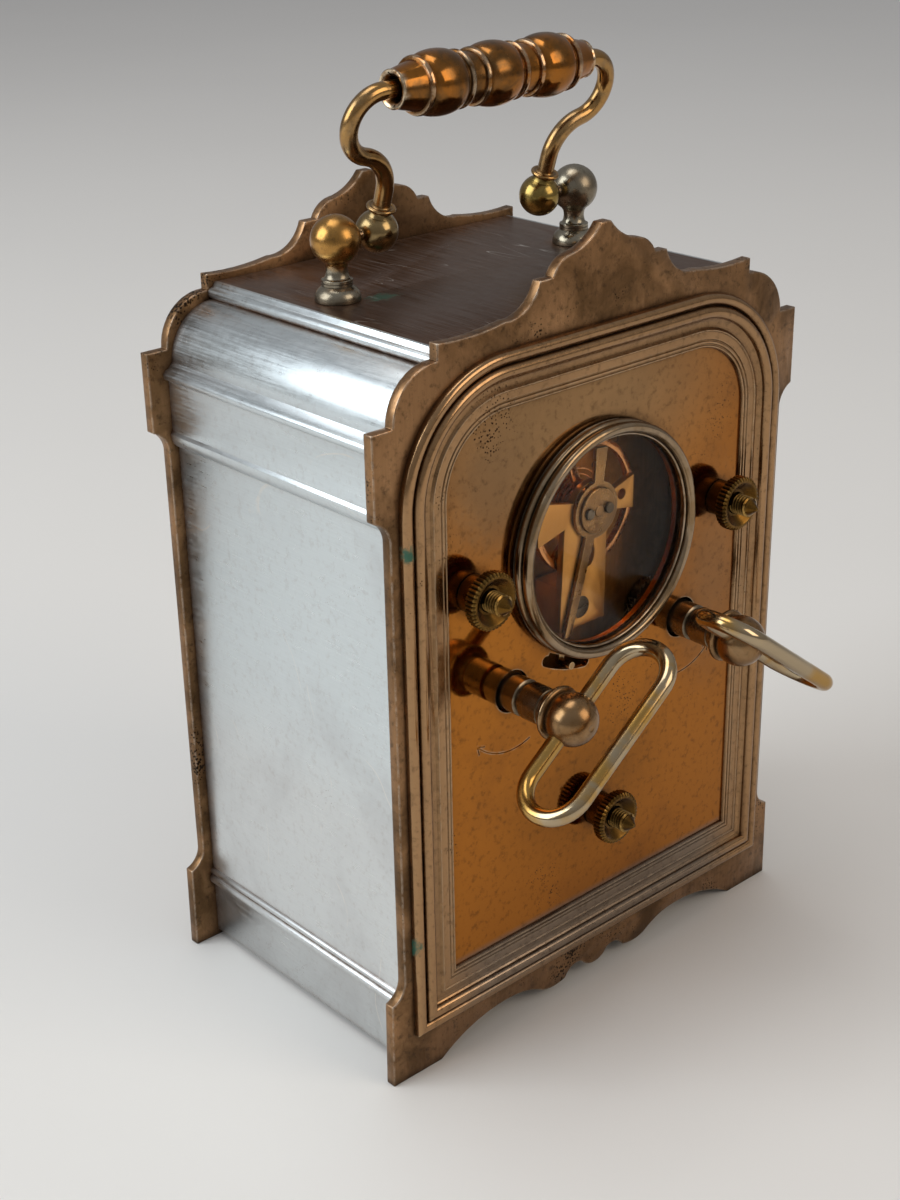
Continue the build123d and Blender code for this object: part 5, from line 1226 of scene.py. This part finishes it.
@dataclass
class StudsAndNuts:
    """Pillars with their threaded studs, and the knurled thumb nuts."""

    reach: float = 7.5
    pitch: float = 0.46
    thread_start: float = 3.6
    thread_facets: int = 20
    pillar_facets: int = 40
    nut: float = 4.0
    boss: float = 2.6
    boss_height: float = 2.7
    thickness: float = 1.9
    cup: float = 1.1
    grooves: int = 40
    plate_inside: float = 9.1
    front_inside: float = 32.3
    front_outside: float = 33.7
    pillar: float = 2.2

    def build(self, palette: Palette) -> None:
        """Builds and dresses the pieces."""
        studs = Shape()
        nuts = Shape()
        for angle in PILLAR_ANGLES:
            place = outward(*around(PILLAR_CIRCLE, angle))
            self._pillar(studs, place)
            self._nut(nuts, place @ Matrix.Rotation(math.radians(angle), 4, "Z"))
        studs.piece(palette, "pillar_studs", "case", Slot.NUT_BRASS, ["pillars"])
        nuts.piece(palette, "knurled_nuts", "case", Slot.NUT_BRASS, ["thumb_nuts"], smooth=25.0)

    def _pillar(self, shape: Shape, place: Matrix) -> None:
        """One pillar, its core and the thread that shows beyond the nut."""
        stud = STUD_RADIUS
        core = stud - 0.3
        thread_end = self.reach - 1.3
        profile = [(0.0, self.reach), (0.25, self.reach - 0.05), (core, thread_end), (core, 3.0), (stud, 2.8)]
        profile += [(stud, -self.plate_inside), (self.pillar, -self.plate_inside - 0.01)]
        profile += [(self.pillar, -self.front_inside), (stud, -self.front_inside - 0.01)]
        profile += [(stud, -self.front_outside), (0.0, -self.front_outside)]
        shape.turn(profile, place, self.pillar_facets)
        thread = bmesh.new()
        turns = (thread_end - self.thread_start) / self.pitch
        half = self.pitch * 0.46
        tooth = [(core - 0.05, -half), (stud, -0.03), (stud, 0.03), (core - 0.05, half)]
        verts = [thread.verts.new((radius, 0.0, self.thread_start + height)) for radius, height in tooth]
        edges = [thread.edges.new(pair) for pair in zip(verts, verts[1:] + verts[:1])]
        first = thread.faces.new(verts)
        steps = round(turns * self.thread_facets)
        climb = turns * self.pitch / steps
        sweep(thread, verts + edges + [first], 2 * math.pi * turns, steps, climb)
        shape.absorb(thread, place)

    def _nut(self, shape: Shape, place: Matrix) -> None:
        """One nut: smooth boss, cupped head and knurled rim."""
        nut = self.nut
        boss = self.boss
        low = self.boss_height
        high = low + self.thickness
        bore = STUD_RADIUS + 0.05
        floor = high - self.cup
        profile = [(bore, 0.0), (boss - 0.15, 0.0), (boss, 0.15), (boss, low - 0.2), (boss + 0.2, low)]
        profile += [(nut - 0.35, low), (nut, low + 0.3), (nut, high - 0.3), (nut - 0.35, high)]
        profile += [(nut - 0.75, high), (nut - 1.0, high - 0.2), (nut - 1.5, high - 0.75)]
        profile += [(bore + 0.45, floor), (bore + 0.1, floor), (bore, floor - 0.1), (bore, 0.0)]
        steps = self.grooves * 4
        bm = Shape().turn(profile, Matrix(), steps).mesh
        rim = [vert for vert in bm.verts if vert.co.xy.length > nut - 0.4]
        facets = [round(math.atan2(vert.co.y, vert.co.x) / (2 * math.pi / steps)) % 4 for vert in rim]
        for places, depth in (((0,), 0.93), ((1, 3), 0.98)):
            verts = [vert for vert, facet in zip(rim, facets) if facet in places]
            bmesh.ops.scale(bm, vec=(depth, depth, 1.0), verts=verts)
        bmesh.ops.recalc_face_normals(bm, faces=bm.faces)
        shape.absorb(bm, place)


@dataclass
class WindingKey:
    """A key: turned pipe with collars and ball, and the wire loop through the ball."""

    body: str
    name: str
    side: int
    pipe: float = 2.65
    inner_end: float = 6.2
    pipe_height: float = 8.3
    collar: float = 3.85
    collar_edge: float = 0.5
    ball: float = 3.7
    ball_height: float = 11.3
    wire: float = 1.2
    half_length: float = 13.6
    loop_width: float = 9.2
    tilt: float = 36.9
    facets: int = 72
    bend_facets: int = 24

    def build(self, palette: Palette) -> None:
        """Builds and dresses the pieces."""
        place = outward(self.side * KEY_X, KEY_Z)
        edge = self.collar_edge
        top = self.ball_height + self.ball
        profile = [(0.0, -self.inner_end), (self.pipe, -self.inner_end)]
        profile += [(self.pipe - inset, height) for inset, height in PIPE_GROOVES]
        profile += [(self.pipe, self.pipe_height - 0.25), (self.pipe + 0.25, self.pipe_height)]
        profile += arc((self.collar - edge, self.pipe_height + edge), edge, -70, 80, 8)
        start = math.degrees(math.asin((self.pipe_height + 1.05 - self.ball_height) / self.ball))
        profile += arc((0.0, self.ball_height), self.ball, start, 82, 26)
        profile += [(0.35, top - 0.12), (0.0, top - 0.14)]
        pipe = Shape().turn(profile, place, self.facets)
        pipe.piece(palette, f"{self.name}_turned", self.body, Slot.KEY_BRASS, [self.name])
        loop = self._loop(place)
        loop.piece(palette, f"{self.name}_wire", self.body, Slot.KEY_BRASS, [f"{self.name}_loop"], LOOP)

    def _loop(self, place: Matrix) -> Shape:
        """The wire loop, laid in a plane that holds the key's axis."""
        straight = self.half_length - self.loop_width / 2
        wire = Wire(self.wire, Vector((0, 0, 0)), Vector((1, 0, 0)))
        wire.forward(straight)
        wire.bend(straight, self.loop_width / 2, 180, self.bend_facets)
        wire.forward(2 * straight)
        wire.bend(-straight, self.loop_width / 2, 180, self.bend_facets)
        wire.forward(straight)
        direction = 90 + self.side * (90 - self.tilt)
        turn = Matrix.Rotation(-math.radians(direction), 4, "Z")
        middle = place @ Matrix.Translation((0, 0, self.ball_height))
        return Shape().absorb(weld(wire.mesh), middle @ turn @ Matrix.Rotation(math.pi / 2, 4, "X"))


@dataclass
class CarryHandle:
    """Posts, the bent wire with its ball ends, and the turned grip."""

    post_x: float = 22.4
    pivot_z: float = 112.4
    pivot_y: float = -12.15
    post_ball: float = 3.4
    post_sunk: float = 3.4
    post_stem: float = 1.2
    post_neck: float = 1.85
    ball_x: float = 15.3
    ball: float = 2.95
    wire: float = 1.2
    wire_start: float = 2.0
    lean: float = 18.0
    reach: float = 20.4
    bow_x: float = 23.3
    bow: float = 4.5
    rise: float = 6.0
    half_grip: float = 17.4
    bulb: float = 4.3
    bulb_spacing: float = 9.8
    swell: float = 2.85
    swell_steps: int = 16
    swell_power: float = 0.62
    shoulder: float = 3.5
    ring: float = 3.45
    petals: int = 6
    petal_steps: int = 14
    post_facets: int = 64
    ball_facets: int = 56
    wire_facets: int = 24

    def build(self, palette: Palette) -> None:
        """Builds and dresses the pieces."""
        self._posts().piece(palette, "handle_posts_turned", "case", Slot.NICKEL, ["handle_posts"], POST)
        self._wire().piece(palette, "handle_wire_bent", "handle", Slot.HANDLE_BRASS, ["handle_wire"], WIRE)
        self._grip().piece(palette, "handle_grip_turned", "grip", Slot.HANDLE_BRASS, ["handle_grip"])

    def _plane(self) -> Matrix:
        """Frame of the leaning handle: X across, Y up the handle."""
        turn = Matrix.Rotation(math.radians(90 - self.lean), 4, "X")
        return Matrix.Translation((0, self.pivot_y, self.pivot_z)) @ turn

    def _posts(self) -> Shape:
        """Both posts, each with a flared foot, a waist, a ring and a ball."""
        shape = Shape()
        sunk = BODY_TOP - self.post_sunk
        top = self.pivot_z + self.post_ball
        profile = [(0.0, sunk), (self.post_stem, sunk), (self.post_stem, BODY_TOP + 0.01)]
        profile += [(radius, BODY_TOP + rise) for radius, rise in POST_FOOT]
        start = -math.degrees(math.acos(self.post_neck / self.post_ball))
        profile += arc((0.0, self.pivot_z), self.post_ball, start, 84, 30)
        profile += [(0.2, top + 0.03), (0.0, top + 0.04)]
        for side in (1, -1):
            foot = Matrix.Translation((side * self.post_x, self.pivot_y, 0))
            shape.turn(profile, foot, self.post_facets)
        return shape

    def _wire(self) -> Shape:
        """The bent wire with a ball and a double collar at each end."""
        shape = Shape()
        across = self.ball_x - (self.bow_x - self.bow)
        climb = self.reach - self.bow - self.rise
        bend = (across**2 + climb**2 - self.bow**2) / (2 * (self.bow - across))
        turn = 180 - math.degrees(math.atan2(climb, -across - bend))
        for side in (1, -1):
            start = Vector((self.ball_x, self.wire_start, 0))
            wire = Wire(self.wire, start, Vector((0, 1, 0)), self.wire_facets)
            wire.forward(self.rise - self.wire_start)
            wire.bend(self.ball_x + bend, self.rise, -turn, 14)
            wire.bend(self.bow_x - self.bow, self.reach - self.bow, 90 + turn, self.wire_facets)
            wire.forward(self.bow_x - self.bow)
            shape.absorb(wire.mesh, Matrix.Diagonal((side, 1, 1, 1)))
        weld(shape.mesh)
        ball = arc((0.0, 0.0), self.ball, -90, 90, 32)
        collars = COLLAR_FOOT + arc((1.72, 3.5), 0.3, -70, 85, 8) + COLLAR_TOP
        for side in (1, -1):
            foot = Matrix.Translation((side * self.ball_x, 0, 0)) @ Matrix.Rotation(-math.pi / 2, 4, "X")
            shape.turn(ball, foot, self.ball_facets)
            shape.turn(collars, foot, self.ball_facets)
        bmesh.ops.transform(shape.mesh, matrix=self._plane(), verts=shape.mesh.verts)
        return shape

    def _grip(self) -> Shape:
        """The turned grip: three bulbs, double rings between them and bell ends."""
        bore = self.wire + 0.05
        end = self.half_grip
        right: list[Point] = []
        for middle in (0.0, self.bulb_spacing):
            start = 0.0 if middle == 0.0 else -self.swell
            for i in range(self.swell_steps + 1):
                x = start + (self.swell - start) * i / self.swell_steps
                share = max(1.0 - (x / self.swell) ** 2, 0.0) ** self.swell_power
                right.append((self.shoulder + (self.bulb - self.shoulder) * share, middle + x))
            right += [(radius, middle + self.ring - step) for radius, step in reversed(GRIP_RING)]
            if middle == 0.0:
                right += [(GRIP_WAIST - 0.06, self.bulb_spacing / 2)]
                right += [(radius, self.bulb_spacing - self.ring + step) for radius, step in GRIP_RING]
        right[-1] = (3.3, right[-1][1])
        right += [(radius, end - inset) for radius, inset in (*GRIP_BELL, (bore, 1.5))]
        profile = [(radius, -height) for radius, height in reversed(right[1:])] + right
        profile.append(profile[0])
        steps = self.petals * self.petal_steps
        grip = Shape().turn(profile, Matrix(), steps)
        bm = grip.mesh
        mouth = [vert for vert in bm.verts if abs(vert.co.z) > end - 1.0]
        lip = [vert for vert in mouth if bore + 0.1 < vert.co.xy.length < 2.1]
        facets = [round(math.atan2(vert.co.y, vert.co.x) / (2 * math.pi) * steps) for vert in lip]
        notches = [vert for vert, facet in zip(lip, facets) if facet % self.petal_steps == 0]
        bmesh.ops.scale(bm, vec=(1.22, 1.22, 0.965), verts=notches)
        bmesh.ops.recalc_face_normals(bm, faces=bm.faces)
        place = self._plane() @ Matrix.Translation((0, self.reach, 0)) @ Matrix.Rotation(math.pi / 2, 4, "Y")
        bmesh.ops.transform(bm, matrix=place, verts=bm.verts)
        return grip


@dataclass
class DialPrint:
    """Plain numerals, minute track and alarm ring on the dial."""

    depth: float = 42.9
    numeral_radius: float = 18.6
    numeral_size: float = 5.4
    track: Point = (22.3, 23.6)
    alarm_ring: Point = (8.6, 9.3)
    lift: float = 0.03
    minute_widths: Point = (0.5, 0.16)
    alarm_widths: Point = (0.22, 0.1)
    ring_widths: Point = (0.12, 0.1)
    facets: int = 120

    def build(self, palette: Palette) -> None:
        """Builds and dresses the piece."""
        shape = Shape()
        place = outward(0.0, CENTRE_Z, Face.DIAL) @ Matrix.Translation((0, 0, self.depth - CASE_DEPTH))
        wide, narrow = self.ring_widths
        for inner, width in ((self.track[0], wide), (self.track[1], wide), (self.alarm_ring[0], narrow)):
            outer = inner + width
            ring = [(inner, 0.0), (inner, self.lift), (outer, self.lift), (outer, 0.0), (inner, 0.0)]
            shape.turn(ring, place, self.facets)
        rows = ((60, 5, self.track, self.minute_widths), (48, 4, self.alarm_ring, self.alarm_widths))
        for marks, bold_each, reach, (bold, thin) in rows:
            for mark in range(marks):
                size = (thin if mark % bold_each else bold, reach[1] - reach[0], self.lift)
                turn = Matrix.Rotation(-math.radians(mark * 360.0 / marks), 4, "Z")
                shape.bar(size, (0, sum(reach) / 2, self.lift / 2), place @ turn)
        for hour in range(1, 13):
            self._numeral(shape, place, hour)
        shape.piece(palette, "dial_print", "case", Slot.ENAMEL, finish=PRINT)

    def _numeral(self, shape: Shape, place: Matrix, hour: int) -> None:
        """One upright hour numeral."""
        curve = bpy.data.curves.new("numeral", "FONT")
        curve.body = str(hour)
        curve.size = self.numeral_size
        curve.align_x = "CENTER"
        curve.align_y = "CENTER"
        curve.extrude = self.lift / 2
        obj = bpy.data.objects.new("numeral", curve)
        mesh = bpy.data.meshes.new_from_object(obj)
        bm = bmesh.new()
        bm.from_mesh(mesh)
        bpy.data.objects.remove(obj)
        bpy.data.curves.remove(curve)
        bpy.data.meshes.remove(mesh)
        spot = around(self.numeral_radius, 90 - hour * 30, (0.0, 0.0))
        shape.absorb(bm, place @ Matrix.Translation((*spot, self.lift / 2)))


# Studio


@dataclass
class Studio:
    """Floor, lamps, world and camera, in metres."""

    eye: Triple = (0.17371, 0.17882, 0.17001)
    target: Triple = (0.00615, -0.00915, 0.05625)
    roll: float = -1.137
    lens: float = 55.96
    floor_radius: float = 2.5
    aim: Triple = (0, 0, 0.05)

    def build(self) -> None:
        """Sets up the studio."""
        self._floor()
        self._world()
        self._camera()
        self._lamp("window_light", (0.75, -0.35, 0.55), 0.7, 6.2, (0.88, 0.95, 1.0))
        self._lamp("room_light", (-0.35, 0.85, 0.60), 0.6, 3.0, (1.0, 0.86, 0.70))
        self._lamp("top_light", (0.05, -0.15, 1.0), 0.5, 2.4, (1.0, 0.98, 0.96))

    def _floor(self) -> None:
        """A plain pale floor."""
        bm = bmesh.new()
        bmesh.ops.create_circle(bm, cap_ends=True, radius=self.floor_radius, segments=96)
        mesh = bpy.data.meshes.new("floor")
        bm.to_mesh(mesh)
        bm.free()
        material, sheet, shader, vector = new_finish("floor_paper")
        colour = sheet.mix(sheet.noise(vector, 4.0, 3.0), (0.74, 0.72, 0.69), (0.78, 0.76, 0.73))
        sheet.feed(shader, {"Base Color": colour, "Roughness": 0.6})
        mesh.materials.append(material)
        obj = new_object("floor", mesh)

    def _world(self) -> None:
        """A plain pale room, a little brighter overhead than at the horizon."""
        world = bpy.data.worlds.new("pale_room")
        world.use_nodes = True
        bpy.context.scene.world = world
        sheet = Sheet(world.node_tree)
        direction = sheet.node("ShaderNodeTexCoord").outputs["Generated"]
        height = sheet.node("ShaderNodeSeparateXYZ", {0: direction}).outputs[2]
        colour = sheet.mix(sheet.ramp(height, 0.0, 0.9), (0.50, 0.48, 0.46), (0.72, 0.74, 0.78))
        sheet.feed(world.node_tree.nodes["Background"], {"Color": colour, "Strength": 0.5})

    def _lamp(self, name: str, place: Triple, size: float, power: float, colour: Triple) -> None:
        """Adds a soft square lamp that looks at the clock."""
        light = bpy.data.lights.new(name, "AREA")
        light.size = size
        light.energy = power
        light.color = colour
        obj = new_object(name, light)
        obj.location = place
        obj.rotation_euler = (Vector(self.aim) - Vector(place)).to_track_quat("-Z", "Y").to_euler()

    def _camera(self) -> None:
        """Puts the camera where the photograph was taken from."""
        data = bpy.data.cameras.new("camera")
        data.lens = self.lens
        data.sensor_width = 36.0
        data.sensor_fit = "AUTO"
        data.clip_start = 0.01
        obj = new_object("camera", data)
        eye = Vector(self.eye)
        ahead = (Vector(self.target) - eye).normalized()
        level = ahead.cross(UP).normalized()
        upright = level.cross(ahead)
        roll = math.radians(self.roll)
        right = math.cos(roll) * level + math.sin(roll) * upright
        up = math.cos(roll) * upright - math.sin(roll) * level
        turn = Matrix((right, up, -ahead)).transposed().to_4x4()
        obj.matrix_world = Matrix.Translation(eye) @ turn
        bpy.context.scene.camera = obj


def dress_frame(palette: Palette) -> None:
    """Gives every CAD node the finish of its slot."""
    for name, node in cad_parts.items():
        for index, held in enumerate(node.data.materials):
            node.data.materials[index] = palette.material(Slot(held.name))
        LOG.info("%s: CAD node dressed", name)


def main() -> None:
    """Builds the clock around its frame, then the studio."""
    logging.basicConfig(level=logging.INFO, format="%(message)s")
    palette = Palette()
    dress_frame(palette)
    ease_edges(palette, CASE_SHEETS)
    MouldedPanel(Face.REAR, "back_panel").build(palette)
    MouldedPanel(Face.DIAL, "front_panel").build(palette)
    RearWindow().build(palette)
    StudsAndNuts().build(palette)
    WindingKey("time_winding", "time_key", -1).build(palette)
    WindingKey("alarm_winding", "alarm_key", 1).build(palette)
    CarryHandle().build(palette)
    ease_edges(palette, WINDOW_MOVEMENT)
    DialPrint().build(palette)
    ease_edges(palette, FRONT_DOOR)
    Studio().build()
    bpy.context.scene.view_settings.view_transform = "Standard"


if __name__ == "__main__":
    main()
